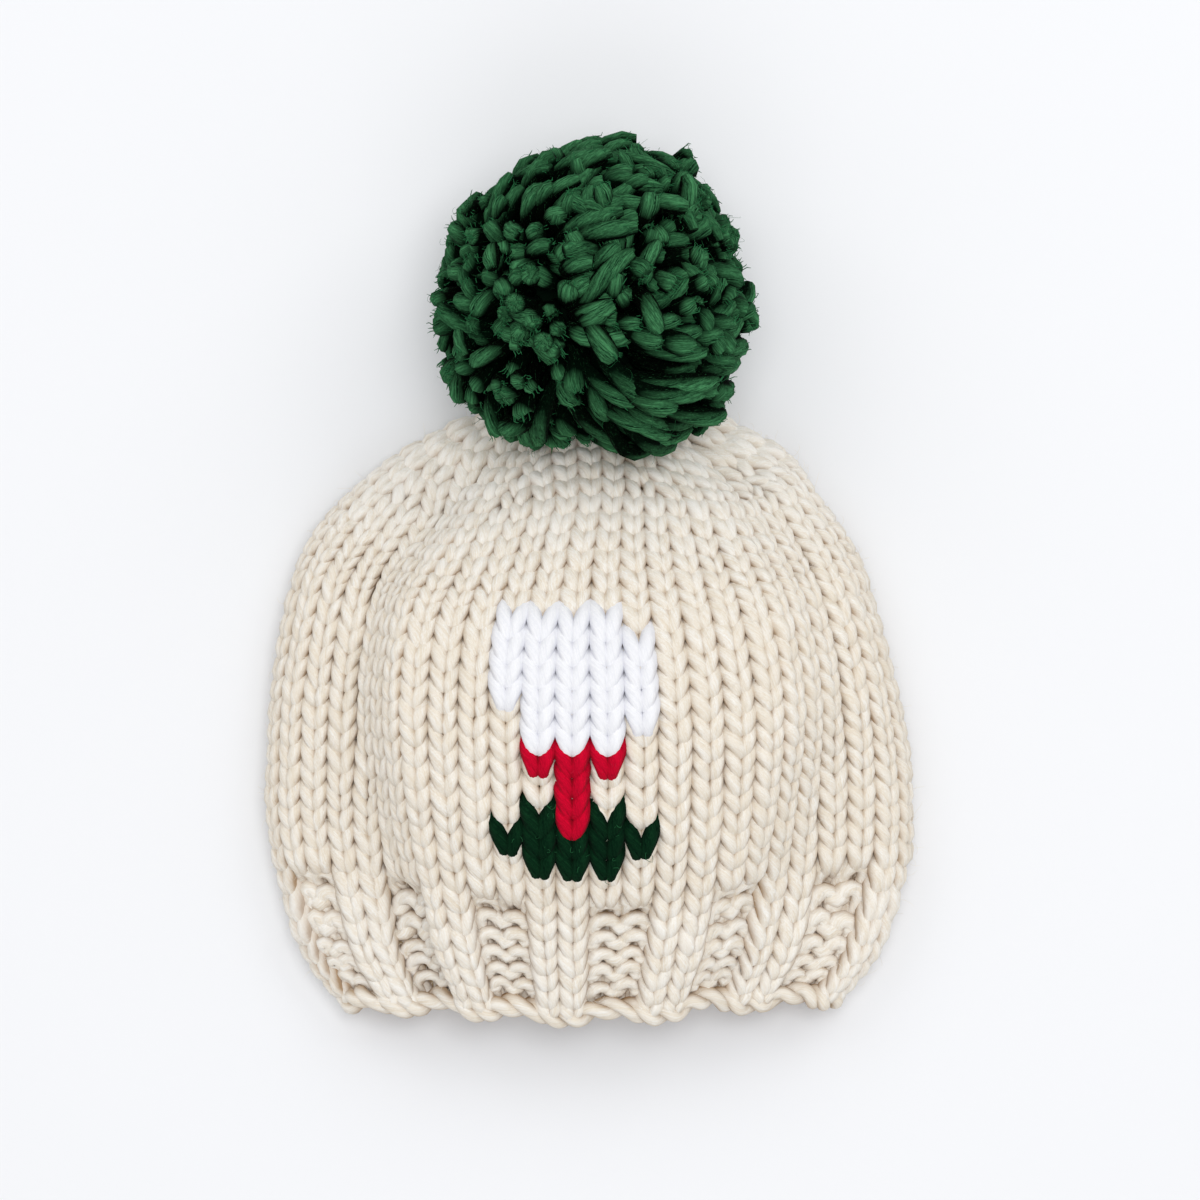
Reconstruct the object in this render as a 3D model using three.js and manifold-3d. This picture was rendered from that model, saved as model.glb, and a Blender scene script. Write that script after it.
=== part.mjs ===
// A knitted beanie with a yarn pompom, lying on its back.
// Millimetres, +Z up. +Y runs from the brim to the pompom, and the floor is z = 0.
// A place on the hat is a column and a row of knitting: column 0 is at the middle of the front,
// row 0 is the cast-on edge and the last row is the gathered point of the crown.

import * as THREE from "three";
import { mergeVertices } from "three/addons/utils/BufferGeometryUtils.js";
import Module from "manifold-3d";

const wasm = await Module();
wasm.setup();

// Knitting
const COLUMNS = 48; // stitches in one round
const FOLD_COLUMN = 12.6; // columns from the middle of the front to the fold at each side
const RIB_ROWS = 5;
const APEX_ROW = 31;
const ROW_HEIGHT = 5.8; // of the ribbing
const WALL = 6.5; // thickness of the knitting
const FOLD_HEIGHT = 17; // two walls and the turn between them, at the folded sides
const GAP = 0.35; // left between pieces that touch
const STRETCH = { extra: 0.17, columns: 4 }; // the front's middle columns are knitted a little wider
const SLOPE = { left: 0.075, right: 0.13, foot: 0.27, top: 0.88 }; // steep sides of the puffed front
const COLUMN_ZERO_X = -4.6;
const APEX_X = 5.9;
const CROWN_START_ROW = 17;
const QUARTER_STEPS = 36; // points along a quarter of a round

// Two by two ribbing: pairs of proud columns with pairs of sunk ones between them
const RIB = {
  columns: 4, proudColumn: -0.5, depth: 2.1, squareness: 1.8, top: RIB_ROWS - 0.04, end: 0.68,
  fade: 0.45, fadeRows: 0.9, dipRows: 1.5, sink: 0.35,
};
const BODY = { startRow: RIB_ROWS + 0.03, endRow: APEX_ROW - 0.7, rowStep: 1.42 };
// Creases where the crown is narrowed
const GATHER = { lines: 8, column: 1.5, depth: 1.3, startRow: 19, fullRow: 27, fadeRows: 2.5, sharpness: 3 };
const EDGE = { radius: 3.05, bulge: 0.22, scallop: 0.8, sides: 6, sunk: 0.63, sway: 0.5 };

// Surface stitches of the picture on the front
const RELIEF = 1.5;
const RIM = 0.035; // of a stitch, drawn in around each patch

const POMPOM = {
  centre: new THREE.Vector3(0.5, 81.7, 43),
  radius: 45.2,
  core: 41,
  locks: 64,
  lockRadius: 6.7,
  lockStart: 33,
  lockSides: 6,
  lockProfile: [[0, 1], [0.86, 1], [1, 0.6]], // shares of its length and of its radius
  lean: 0.3,
  evenness: 0.975,
  unevenness: 0.025,
};
const TIE = { radius: 4.5, length: 24, sides: 8, clearance: 0.35, sunk: 4 };
const FLOOR_BLOCK = { width: 200, height: 60 };
const CROWN_CUT_ROW = 12; // the pompom can only meet the hat above this row

// From the model's own reference point to the middle of its footprint
const ORIGIN = { x: 0.25, y: -1.2 };

// Cross-sections from the edge to the crown. Front and back are the heights on the page of the
// round's middle, left and right its folded ends, crest the height of the front above the floor,
// and the two rises say how far from the middle the front's steep sides lie, as a share.
const SECTION_COLUMNS = [
  "row", "frontY", "backY", "leftX", "leftY", "rightX", "rightY", "crest", "leftRise", "rightRise",
];
const SECTIONS = [
  [0, -123.6, -122.6, -72.3, -121.5, 74.9, -120.1, 28, 0.56, 0.5],
  [2.5, -109.0, -109.6, -83.2, -106.8, 85.3, -106.8, 33.5, 0.57, 0.52],
  [5, -94.4, -96.8, -89.9, -85.4, 92.5, -84.3, 38, 0.57, 0.54],
  [8, -77.7, -79.5, -93.0, -67.0, 93.7, -65.8, 44, 0.6, 0.6],
  [11, -60.1, -62.2, -92.8, -48.5, 92.5, -47.6, 49, 0.63, 0.66],
  [14, -42.3, -44.9, -91.6, -30.0, 89.0, -30.0, 52, 0.66, 0.72],
  [17, -23.2, -27.6, -88.4, -11.0, 84.1, -11.0, 51, 0.66, 0.74],
  [20, -2.1, -10.3, -82.4, 8.6, 77.2, 8.6, 46, 0.65, 0.73],
  [23, 17.7, 7.0, -70.2, 24.5, 66.8, 24.5, 39, 0.6, 0.7],
  [26, 34.9, 24.3, -53.2, 37.5, 56.4, 38.1, 31, 0.56, 0.65],
  [28.5, 46.5, 38.7, -31.3, 48.2, 32.2, 49.9, 23, 0.5, 0.55],
  [31, 51.3, 53.1, 5.9, 52.8, 5.9, 52.8, 17, 0.5, 0.5],
].map((values) => Object.fromEntries(values.map((value, i) => [SECTION_COLUMNS[i], value])));

// The picture on the front, charted one letter a stitch for columns -2 to 2, top row first
const CHART_TOP_ROW = 18;
const CHART = ["wwww.", "wwwww", "wwwww", "wwwww", ".wwww", ".www.", ".rrr.", "..r..", "..r..", ".grg.", "ggggg", ".ggg."];
const CHART_FIRST_COLUMN = -2;

const smooth = (x) => {
  const t = Math.min(Math.max(x, 0), 1);
  return t * t * (3 - 2 * t);
};

// A value of the section table at any row, on a smooth curve through the sections.
function sectionValue(name, row) {
  const last = SECTIONS.length - 1;
  const at = (i) => SECTIONS[Math.min(Math.max(i, 0), last)];
  let i = 0;
  while (i < last - 1 && row > SECTIONS[i + 1].row) i += 1;
  const slope = (k) => (at(k + 1)[name] - at(k - 1)[name]) / (at(k + 1).row - at(k - 1).row);
  const span = at(i + 1).row - at(i).row;
  const t = (row - at(i).row) / span;
  return (
    (1 + 2 * t) * (1 - t) ** 2 * at(i)[name] +
    t * (1 - t) ** 2 * span * slope(i) +
    t * t * (3 - 2 * t) * at(i + 1)[name] +
    t * t * (t - 1) * span * slope(i + 1)
  );
}

// Where the folded end of a round lies, and the level direction from it into the hat.
function foldedEnd(side, row) {
  const step = 0.2;
  const low = Math.max(row - step, 0);
  const high = Math.min(row + step, APEX_ROW);
  const point = (r) => new THREE.Vector2(sectionValue(`${side}X`, r), sectionValue(`${side}Y`, r));
  const along = point(high).sub(point(low)).normalize();
  const inward = side === "left" ? new THREE.Vector2(along.y, -along.x) : new THREE.Vector2(-along.y, along.x);
  inward.y = Math.min(inward.y, 0.08);
  return { place: point(row), inward: inward.normalize() };
}

// Height of the puffed front as a share of its crest, by how far out from the middle a point is.
function puff(share, rise, halfWidth) {
  const foot = rise + halfWidth;
  const top = rise - halfWidth;
  if (share > foot) return SLOPE.foot * (1 - ((share - foot) / (1 - foot)) ** 1.4);
  if (share > top) return SLOPE.foot + (SLOPE.top - SLOPE.foot) * smooth((foot - share) / (foot - top)) ** 0.9;
  return 1 - (1 - SLOPE.top) * (share / top) ** 2;
}

// The outside of the hat, as a place for every column and row.
class HatSurface {
  constructor() {
    this.rounds = new Map();
  }

  // A quarter of a round, from the folded end to the middle of the front or the back.
  quarter(side, face, row) {
    const steps = QUARTER_STEPS;
    const { place, inward } = foldedEnd(side, row);
    const middleX = APEX_X * smooth((row - CROWN_START_ROW) / (APEX_ROW - CROWN_START_ROW));
    const middle = new THREE.Vector2(middleX, sectionValue(`${face}Y`, row));
    const handle = 0.39 * place.distanceTo(middle);
    const curve = new THREE.CubicBezierCurve(
      place,
      place.clone().addScaledVector(inward, handle),
      middle.clone().add(new THREE.Vector2(side === "left" ? -handle : handle, 0)),
      middle,
    );
    const flat = Array.from({ length: steps + 1 }, (_, i) => curve.getPoint((i / steps) ** 1.7));
    const run = [0];
    for (let i = 1; i <= steps; i += 1) run.push(run[i - 1] + flat[i].distanceTo(flat[i - 1]));
    const total = Math.max(run[steps], 1e-6);
    const half = FOLD_HEIGHT / 2;
    return flat.map((p, i) => {
      const turned = Math.sqrt(1 - (1 - Math.min(run[i] / half, 1)) ** 2);
      const share = 1 - run[i] / total;
      const swell = puff(share, sectionValue(`${side}Rise`, row), SLOPE[side]);
      const crest = FOLD_HEIGHT + (sectionValue("crest", row) - FOLD_HEIGHT) * swell;
      const height = face === "front" ? half + (crest - half) * turned : half - half * turned;
      return new THREE.Vector3(p.x, p.y, height);
    });
  }

  // One round as a line in space with its running length, and where its marked columns lie on it.
  round(row) {
    const key = row.toFixed(4);
    if (this.rounds.has(key)) return this.rounds.get(key);
    const parts = [
      this.quarter("left", "back", row).reverse(),
      this.quarter("left", "front", row),
      this.quarter("right", "front", row).reverse(),
      this.quarter("right", "back", row),
    ];
    const line = parts.flatMap((part, i) => (i === 0 ? part : part.slice(1)));
    const run = [0];
    for (let i = 1; i < line.length; i += 1) run.push(run[i - 1] + line[i].distanceTo(line[i - 1]));
    const steps = parts[0].length - 1;
    const zeroX = COLUMN_ZERO_X + (APEX_X - COLUMN_ZERO_X) * smooth((row - CROWN_START_ROW) / (APEX_ROW - CROWN_START_ROW));
    let i = steps;
    while (i < 3 * steps - 1 && line[i + 1].x < zeroX) i += 1;
    const share = (zeroX - line[i].x) / Math.max(line[i + 1].x - line[i].x, 1e-6);
    const zero = run[i] + (run[i + 1] - run[i]) * Math.min(Math.max(share, 0), 1);
    const marks = [0, run[steps], zero, run[3 * steps], run[4 * steps]];
    const made = { line, run, marks };
    this.rounds.set(key, made);
    return made;
  }

  // How far along its stretch of the round a front column lies, from 0 at column 0 to 1 at the fold.
  stretched(columns) {
    const reach = (c) => c + STRETCH.extra * STRETCH.columns * Math.tanh(c / STRETCH.columns);
    return reach(columns) / reach(FOLD_COLUMN);
  }

  point(column, row) {
    const { line, run, marks } = this.round(Math.min(Math.max(row, 0), APEX_ROW));
    const half = COLUMNS / 2;
    const c = ((((column + half) % COLUMNS) + COLUMNS) % COLUMNS) - half;
    const back = half - FOLD_COLUMN;
    let at;
    if (c < -FOLD_COLUMN) at = marks[1] * (1 - (-FOLD_COLUMN - c) / back);
    else if (c < 0) at = marks[2] - (marks[2] - marks[1]) * this.stretched(-c);
    else if (c <= FOLD_COLUMN) at = marks[2] + (marks[3] - marks[2]) * this.stretched(c);
    else at = marks[3] + (marks[4] - marks[3]) * ((c - FOLD_COLUMN) / back);
    let low = 0;
    let high = run.length - 1;
    while (high - low > 1) {
      const mid = (low + high) >> 1;
      if (run[mid] <= at) low = mid;
      else high = mid;
    }
    const share = (at - run[low]) / Math.max(run[high] - run[low], 1e-9);
    return line[low].clone().lerp(line[high], Math.min(Math.max(share, 0), 1));
  }

  normal(column, row) {
    if (row > APEX_ROW - 0.05) return new THREE.Vector3(0, 1, 0);
    const stepRow = 0.2;
    const stepColumn = 0.4;
    const across = this.point(column + stepColumn, row).sub(this.point(column - stepColumn, row));
    const up = this.point(column, row + stepRow).sub(this.point(column, row - stepRow));
    return across.cross(up).normalize();
  }

  // A place on the hat, sunk below its outside by a depth in millimetres.
  inside(column, row, depth) {
    return this.point(column, row).addScaledVector(this.normal(column, row), -depth);
  }
}

const hat = new HatSurface();

// How far a column stands out of the ribbing, from -depth to +depth.
function ribWave(column) {
  const turn = (2 * Math.PI * (column - RIB.proudColumn)) / RIB.columns;
  return (RIB.depth * Math.tanh(RIB.squareness * Math.cos(turn))) / Math.tanh(RIB.squareness);
}

// How deep the creases of the crown are at a place.
function gatherDepth(column, row) {
  const spacing = COLUMNS / GATHER.lines;
  const turn = (2 * Math.PI * (column - GATHER.column)) / spacing;
  const growing = smooth((row - GATHER.startRow) / (GATHER.fullRow - GATHER.startRow));
  const fading = 1 - smooth((row - APEX_ROW + GATHER.fadeRows) / GATHER.fadeRows);
  return GATHER.depth * growing * fading * (0.5 + 0.5 * Math.cos(turn)) ** GATHER.sharpness;
}

// A mesh from its points and the triangles between them.
function geometryOf(vertices, triangles) {
  const geometry = new THREE.BufferGeometry();
  geometry.setAttribute("position", new THREE.Float32BufferAttribute(vertices.flatMap((v) => v.toArray()), 3));
  geometry.setIndex(triangles.flat());
  return geometry;
}

// Joins rings of equal length into a tube: each ring runs right-handed about the way to the next.
function tubeOf(rings, { closed = false, startTip = null, endTip = null } = {}) {
  const sides = rings[0].length;
  const vertices = rings.flat();
  const triangles = [];
  const id = (ring, side) => (ring % rings.length) * sides + (side % sides);
  const last = closed ? rings.length : rings.length - 1;
  for (let r = 0; r < last; r += 1) {
    for (let s = 0; s < sides; s += 1) {
      triangles.push([id(r, s), id(r, s + 1), id(r + 1, s + 1)], [id(r, s), id(r + 1, s + 1), id(r + 1, s)]);
    }
  }
  for (const [tip, ring, start] of [[startTip, 0, true], [endTip, rings.length - 1, false]]) {
    if (!tip) continue;
    vertices.push(tip);
    for (let s = 0; s < sides; s += 1) {
      const edge = start ? [id(ring, s + 1), id(ring, s)] : [id(ring, s), id(ring, s + 1)];
      triangles.push([...edge, vertices.length - 1]);
    }
  }
  return geometryOf(vertices, triangles);
}

// The round of columns that a wall is sampled at: on the half columns, so that creases fall on them.
const columnsOf = (perColumn) =>
  Array.from({ length: COLUMNS * perColumn }, (_, i) => -COLUMNS / 2 + (i + 0.5 * perColumn) / perColumn);

// The knitted wall below the crown: a sleeve with an outside, an inside and two cut ends.
function ribbedBrim() {
  const rows = [RIB.end, 1.5, 2.4, 3.3, 4.2, RIB.top];
  const columns = columnsOf(2);
  const ring = (row, depth) => {
    const fade = 1 - RIB.fade * smooth((row - RIB.top + RIB.fadeRows) / RIB.fadeRows);
    const dip = (EDGE.scallop / ROW_HEIGHT) * (1 - smooth((row - RIB.end) / RIB.dipRows));
    return columns.map((c) => hat.inside(c, row - (dip * ribWave(c)) / RIB.depth, depth - ribWave(c) * fade));
  };
  const outside = rows.map((row) => ring(row, RIB.depth));
  const inside = rows.map((row) => ring(row, WALL + RIB.depth * RIB.sink)).reverse();
  return tubeOf([...outside, ...inside], { closed: true });
}

// The rows that the body is sampled at.
function bodyRows() {
  const count = Math.round((BODY.endRow - BODY.startRow) / BODY.rowStep);
  const step = (BODY.endRow - BODY.startRow) / count;
  return Array.from({ length: count + 1 }, (_, i) => BODY.startRow + i * step);
}

// The knitted body and crown, open at the brim and gathered to a point.
function knitBody() {
  const rows = bodyRows();
  const columns = columnsOf(1);
  const outside = rows.map((row) => columns.map((c) => hat.inside(c, row, gatherDepth(c, row))));
  const inside = rows.map((row) => columns.map((c) => hat.inside(c, row, WALL))).reverse();
  const rings = [...inside, ...outside];
  return tubeOf(rings, {
    startTip: hat.inside(0, APEX_ROW, WALL),
    endTip: hat.inside(0, APEX_ROW, 0),
  });
}

// The corded edge below the ribbing, which dips under each proud pair of columns.
function castOnEdge() {
  const columns = columnsOf(2);
  const rings = columns.map((column, i) => {
    const down = hat.point(column, 0).sub(hat.point(column, 0.4)).normalize();
    const out = hat.normal(column, 0.2);
    const wave = ribWave(column) / RIB.depth;
    const centre = hat.inside(column, 0, WALL / 2 + EDGE.sunk).addScaledVector(down, EDGE.scallop * wave);
    centre.addScaledVector(out, EDGE.sway * wave);
    const radius = EDGE.radius + (i % 2 === 0 ? EDGE.bulge : -EDGE.bulge);
    return Array.from({ length: EDGE.sides }, (_, s) => {
      const turn = ((s + 0.5) * 2 * Math.PI) / EDGE.sides;
      const p = centre.clone().addScaledVector(out, radius * Math.cos(turn)).addScaledVector(down, radius * Math.sin(turn));
      p.z = Math.max(p.z, 0);
      return p;
    });
  });
  return tubeOf(rings, { closed: true });
}

// The quarter stitches of one letter of the chart, as corners in columns and rows.
function chartedQuads(letter) {
  const quads = [];
  CHART.forEach((line, i) => {
    [...line].forEach((mark, j) => {
      if (mark !== letter) return;
      const column = CHART_FIRST_COLUMN + j;
      const row = CHART_TOP_ROW - i;
      const left = [[column - 0.5, row + 0.5], [column, row], [column, row + 1], [column - 0.5, row + 1.5]];
      const right = [[column, row], [column + 0.5, row + 0.5], [column + 0.5, row + 1.5], [column, row + 1]];
      quads.push(left, right);
    });
  });
  return quads;
}

// A raised patch of surface stitches, a shallow V for each stitch, drawn in a little at its rim.
function stitchPatch(letter) {
  const quads = chartedQuads(letter);
  const around = new Map();
  for (const quad of quads) {
    const middle = [0, 1].map((axis) => quad.reduce((sum, corner) => sum + corner[axis] / 4, 0));
    for (const corner of quad) around.set(`${corner}`, [...(around.get(`${corner}`) ?? []), middle]);
  }
  const vertices = [];
  const found = new Map();
  const vertex = ([column, row], raised) => {
    const key = `${column},${row},${raised}`;
    if (!found.has(key)) {
      const middles = around.get(`${[column, row]}`);
      const inward = [column, row].map((value, axis) => middles.reduce((sum, m) => sum + m[axis], 0) / middles.length - value);
      const drawn = middles.length === 4 ? 0 : RIM / Math.hypot(...inward);
      const depth = raised ? -GAP - RELIEF : -GAP;
      found.set(key, vertices.length);
      vertices.push(hat.inside(column + inward[0] * drawn, row + inward[1] * drawn, depth));
    }
    return found.get(key);
  };
  const edges = new Set(quads.flatMap((quad) => quad.map((corner, k) => `${corner}|${quad[(k + 1) % 4]}`)));
  const triangles = [];
  for (const quad of quads) {
    const top = quad.map((corner) => vertex(corner, true));
    const bottom = quad.map((corner) => vertex(corner, false));
    triangles.push([top[0], top[1], top[2]], [top[0], top[2], top[3]]);
    triangles.push([bottom[0], bottom[2], bottom[1]], [bottom[0], bottom[3], bottom[2]]);
    quad.forEach((corner, k) => {
      const next = (k + 1) % 4;
      if (edges.has(`${quad[next]}|${corner}`)) return;
      triangles.push([bottom[k], bottom[next], top[next]], [bottom[k], top[next], top[k]]);
    });
  }
  return geometryOf(vertices, triangles);
}

// Closed meshes to solids and back, for the pompom's joins and cuts.
function solidOf(geometry) {
  const bare = geometry.clone();
  for (const name of Object.keys(bare.attributes)) if (name !== "position") bare.deleteAttribute(name);
  const merged = mergeVertices(bare, 1e-5);
  return new wasm.Manifold(
    new wasm.Mesh({
      numProp: 3,
      vertProperties: new Float32Array(merged.attributes.position.array),
      triVerts: new Uint32Array(merged.index.array),
    }),
  );
}

function geometryOfSolid(solid) {
  const { numProp, vertProperties, triVerts } = solid.getMesh();
  const vertices = [];
  for (let i = 0; i < vertProperties.length; i += numProp) {
    vertices.push(new THREE.Vector3(vertProperties[i], vertProperties[i + 1], vertProperties[i + 2]));
  }
  const triangles = [];
  for (let i = 0; i < triVerts.length; i += 3) triangles.push([triVerts[i], triVerts[i + 1], triVerts[i + 2]]);
  return geometryOf(vertices, triangles);
}

// The crown as a filled solid, grown by the gap, to cut away from what lies against it.
function crownFilled() {
  const rows = bodyRows().filter((row) => row > CROWN_CUT_ROW);
  const columns = columnsOf(1);
  const rings = rows.map((row) => columns.map((c) => hat.inside(c, row, gatherDepth(c, row) - GAP)));
  return solidOf(
    tubeOf(rings, {
      startTip: new THREE.Vector3(0, hat.point(0, rows[0]).y, FOLD_HEIGHT),
      endTip: hat.inside(0, APEX_ROW, -GAP),
    }),
  );
}

// The way the pompom's yarn ends are combed: they part near the upper left and fall to the lower right.
function combed(direction) {
  const flow = new THREE.Vector3(0.62, -0.72, -0.15);
  const sideways = flow.addScaledVector(direction, -flow.dot(direction));
  const share = 0.25 + 0.75 * smooth(0.5 + 0.6 * (direction.x - direction.y));
  return direction.clone().addScaledVector(sideways, POMPOM.lean * share).normalize();
}

// One lock of yarn ends: a six-sided club from the core to a blunt tip.
function pompomLock(index) {
  const golden = Math.PI * (3 - Math.sqrt(5));
  const z = 1 - (2 * index + 1) / POMPOM.locks;
  const across = Math.sqrt(1 - z * z);
  const root = new THREE.Vector3(across * Math.cos(golden * index), across * Math.sin(golden * index), z);
  const way = combed(root);
  const reach = POMPOM.radius * (POMPOM.evenness + POMPOM.unevenness * Math.sin(golden * index));
  const tip = way.clone().multiplyScalar(reach);
  const start = root.clone().multiplyScalar(POMPOM.lockStart);
  const along = tip.clone().sub(start);
  const side = new THREE.Vector3(0, 0, 1).cross(along).normalize();
  const up = along.clone().normalize().cross(side).negate();
  const rings = POMPOM.lockProfile.map(([share, width]) =>
    Array.from({ length: POMPOM.lockSides }, (_, s) => {
      const turn = (s * 2 * Math.PI) / POMPOM.lockSides + index;
      const offset = side.clone().multiplyScalar(-Math.cos(turn)).addScaledVector(up, Math.sin(turn));
      return start.clone().addScaledVector(along, share).addScaledVector(offset, POMPOM.lockRadius * width).add(POMPOM.centre);
    }),
  );
  const startTip = start.clone().add(POMPOM.centre);
  const endTip = tip.clone().multiplyScalar(1.005).add(POMPOM.centre);
  return solidOf(tubeOf(rings, { startTip, endTip }));
}

// The yarn tie between crown and pompom: a plain round plug through the gathered point.
function tieSolid(grown) {
  const apex = hat.point(0, APEX_ROW);
  const way = POMPOM.centre.clone().sub(apex).normalize();
  const length = TIE.length + 2 * grown;
  const cylinder = new THREE.CylinderGeometry(TIE.radius + grown, TIE.radius + grown, length, TIE.sides);
  cylinder.applyQuaternion(new THREE.Quaternion().setFromUnitVectors(new THREE.Vector3(0, 1, 0), way));
  const middle = apex.clone().addScaledVector(way, TIE.length / 2 - TIE.sunk);
  cylinder.translate(middle.x, middle.y, middle.z);
  return solidOf(cylinder);
}

// The biggest body of a solid that a cut may have left in pieces.
const biggest = (solid) => solid.decompose().reduce((best, piece) => (piece.volume() > best.volume() ? piece : best));

function pompom(crown) {
  const core = new THREE.IcosahedronGeometry(POMPOM.core, 2);
  core.translate(POMPOM.centre.x, POMPOM.centre.y, POMPOM.centre.z);
  let body = solidOf(core);
  for (let i = 0; i < POMPOM.locks; i += 1) body = body.add(pompomLock(i));
  const floor = new THREE.BoxGeometry(FLOOR_BLOCK.width, FLOOR_BLOCK.width, FLOOR_BLOCK.height);
  floor.translate(POMPOM.centre.x, POMPOM.centre.y, -FLOOR_BLOCK.height / 2);
  return biggest(body.subtract(solidOf(floor)).subtract(crown).subtract(tieSolid(TIE.clearance)));
}

const cream = new THREE.MeshStandardMaterial({ color: 0xeee4d4, roughness: 0.95, metalness: 0 });
const white = new THREE.MeshStandardMaterial({ color: 0xf4f6fa, roughness: 0.95, metalness: 0 });
const red = new THREE.MeshStandardMaterial({ color: 0xc60f2c, roughness: 0.95, metalness: 0 });
const green = new THREE.MeshStandardMaterial({ color: 0x125a32, roughness: 0.95, metalness: 0 });

const crown = crownFilled();
const pieces = [
  ["knit_body", knitBody(), cream],
  ["ribbed_brim", ribbedBrim(), cream],
  ["cast_on_edge", castOnEdge(), cream],
  ["ball_stitches", stitchPatch("w"), white],
  ["tee_stitches", stitchPatch("r"), red],
  ["grass_stitches", stitchPatch("g"), green],
  ["pompom", geometryOfSolid(pompom(crown)), green],
  ["pompom_tie", geometryOfSolid(biggest(tieSolid(0).subtract(crown))), green],
];

const beanie = new THREE.Group();
for (const [name, geometry, material] of pieces) {
  const mesh = new THREE.Mesh(geometry, material);
  mesh.name = name;
  beanie.add(mesh);
}
beanie.position.set(-ORIGIN.x, -ORIGIN.y, 0);

export default beanie;
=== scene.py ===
"""Looks of a knitted beanie with a yarn pompom, lying on its back.

The hat's surface gives a place for every column and row of knitting. Every yarn is a path on that
surface or in the pompom, and one geometry nodes tree sweeps all the paths into round yarn.
Paths are worked out in millimetres about the hat's own reference point, and meshes are in metres.
"""

import logging
import math
from collections.abc import Iterable, Sequence
from dataclasses import dataclass, field
from enum import Enum

import bpy
import numpy as np
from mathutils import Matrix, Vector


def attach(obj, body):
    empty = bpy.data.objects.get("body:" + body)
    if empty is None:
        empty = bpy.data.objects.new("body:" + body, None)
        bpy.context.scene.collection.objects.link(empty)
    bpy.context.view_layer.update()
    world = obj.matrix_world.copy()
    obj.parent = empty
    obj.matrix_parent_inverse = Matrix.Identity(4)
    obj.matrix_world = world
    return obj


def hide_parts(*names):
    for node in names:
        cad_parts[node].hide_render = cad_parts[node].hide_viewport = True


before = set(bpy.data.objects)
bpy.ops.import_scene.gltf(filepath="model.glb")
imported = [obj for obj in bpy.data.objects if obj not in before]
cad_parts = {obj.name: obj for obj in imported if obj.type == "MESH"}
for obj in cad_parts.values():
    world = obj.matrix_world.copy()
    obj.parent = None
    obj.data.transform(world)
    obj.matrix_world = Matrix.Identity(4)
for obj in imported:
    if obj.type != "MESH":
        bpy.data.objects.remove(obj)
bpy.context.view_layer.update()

log = logging.getLogger("beanie")
Array = np.ndarray
Triple = tuple[float, float, float]

FRAME_SHIFT = np.array([-0.25, 1.2, 0.0])
MM_PER_METRE = 1000

COLUMNS = 48
FOLD_COLUMN = 12.6
APEX_ROW = 31.0
RIB_ROWS = 5
RIB_ROUNDS = 6
RIB_REPEAT = 4
CROWN_ROW = 18.0
CROWN_PITCH = 0.84
FOLD_HEIGHT = 17.0
WALL = 6.5
WEDGES = 8
WEDGE_COLUMNS = 6
WEDGE_LINE = 1.5
DECREASE_ROW = 24.0
ROWS_PER_DECREASE = 1.5
CREASE_DEPTH = 1.5


def ramp(x: Array | float, start: float, end: float) -> Array:
    """Eases from 0 to 1.

    Args:
        x: Any values.
        start: Where the result is still 0.
        end: Where it is 1.

    Returns:
        The eased values.
    """
    t = np.clip((x - start) / (end - start), 0.0, 1.0)
    return t * t * (3.0 - 2.0 * t)


def unit(v: Array) -> Array:
    """Scales the vectors in the last axis to length one."""
    return v / np.maximum(np.linalg.norm(v, axis=-1, keepdims=True), 1e-9)


def sideways(v: Array, way: Array) -> Array:
    """Takes out of vectors what points along directions of length one."""
    return v - way * np.sum(v * way, axis=-1, keepdims=True)


def running_length(line: Array) -> Array:
    """Measures how far along a line each of its points lies."""
    return np.concatenate([[0.0], np.cumsum(np.linalg.norm(np.diff(line, axis=0), axis=1))])


@dataclass(frozen=True)
class Section:
    """One cross-section of the lying hat, in millimetres.

    Front and back are the heights on the page of the round's middle, left and right its folded
    ends, crest the height of the front above the floor, and the rises say how far out its steep
    sides lie.
    """

    row: float
    front_y: float
    back_y: float
    left_x: float
    left_y: float
    right_x: float
    right_y: float
    crest: float
    left_rise: float
    right_rise: float


SECTIONS = (
    Section(0, -123.6, -122.6, -72.3, -121.5, 74.9, -120.1, 28, 0.56, 0.5),
    Section(2.5, -109.0, -109.6, -83.2, -106.8, 85.3, -106.8, 33.5, 0.57, 0.52),
    Section(5, -94.4, -96.8, -89.9, -85.4, 92.5, -84.3, 38, 0.57, 0.54),
    Section(8, -77.7, -79.5, -93.0, -67.0, 93.7, -65.8, 44, 0.6, 0.6),
    Section(11, -60.1, -62.2, -92.8, -48.5, 92.5, -47.6, 49, 0.63, 0.66),
    Section(14, -42.3, -44.9, -91.6, -30.0, 89.0, -30.0, 52, 0.66, 0.72),
    Section(17, -23.2, -27.6, -88.4, -11.0, 84.1, -11.0, 51, 0.66, 0.74),
    Section(20, -2.1, -10.3, -82.4, 8.6, 77.2, 8.6, 46, 0.65, 0.73),
    Section(23, 17.7, 7.0, -70.2, 24.5, 66.8, 24.5, 39, 0.6, 0.7),
    Section(26, 34.9, 24.3, -53.2, 37.5, 56.4, 38.1, 31, 0.56, 0.65),
    Section(28.5, 46.5, 38.7, -31.3, 48.2, 32.2, 49.9, 23, 0.5, 0.55),
    Section(31, 51.3, 53.1, 5.9, 52.8, 5.9, 52.8, 17, 0.5, 0.5),
)


@dataclass(frozen=True)
class OutlinePoint:
    """How far the pompom reaches level with its middle, in degrees from the right and millimetres."""

    angle: float
    reach: float


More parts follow.
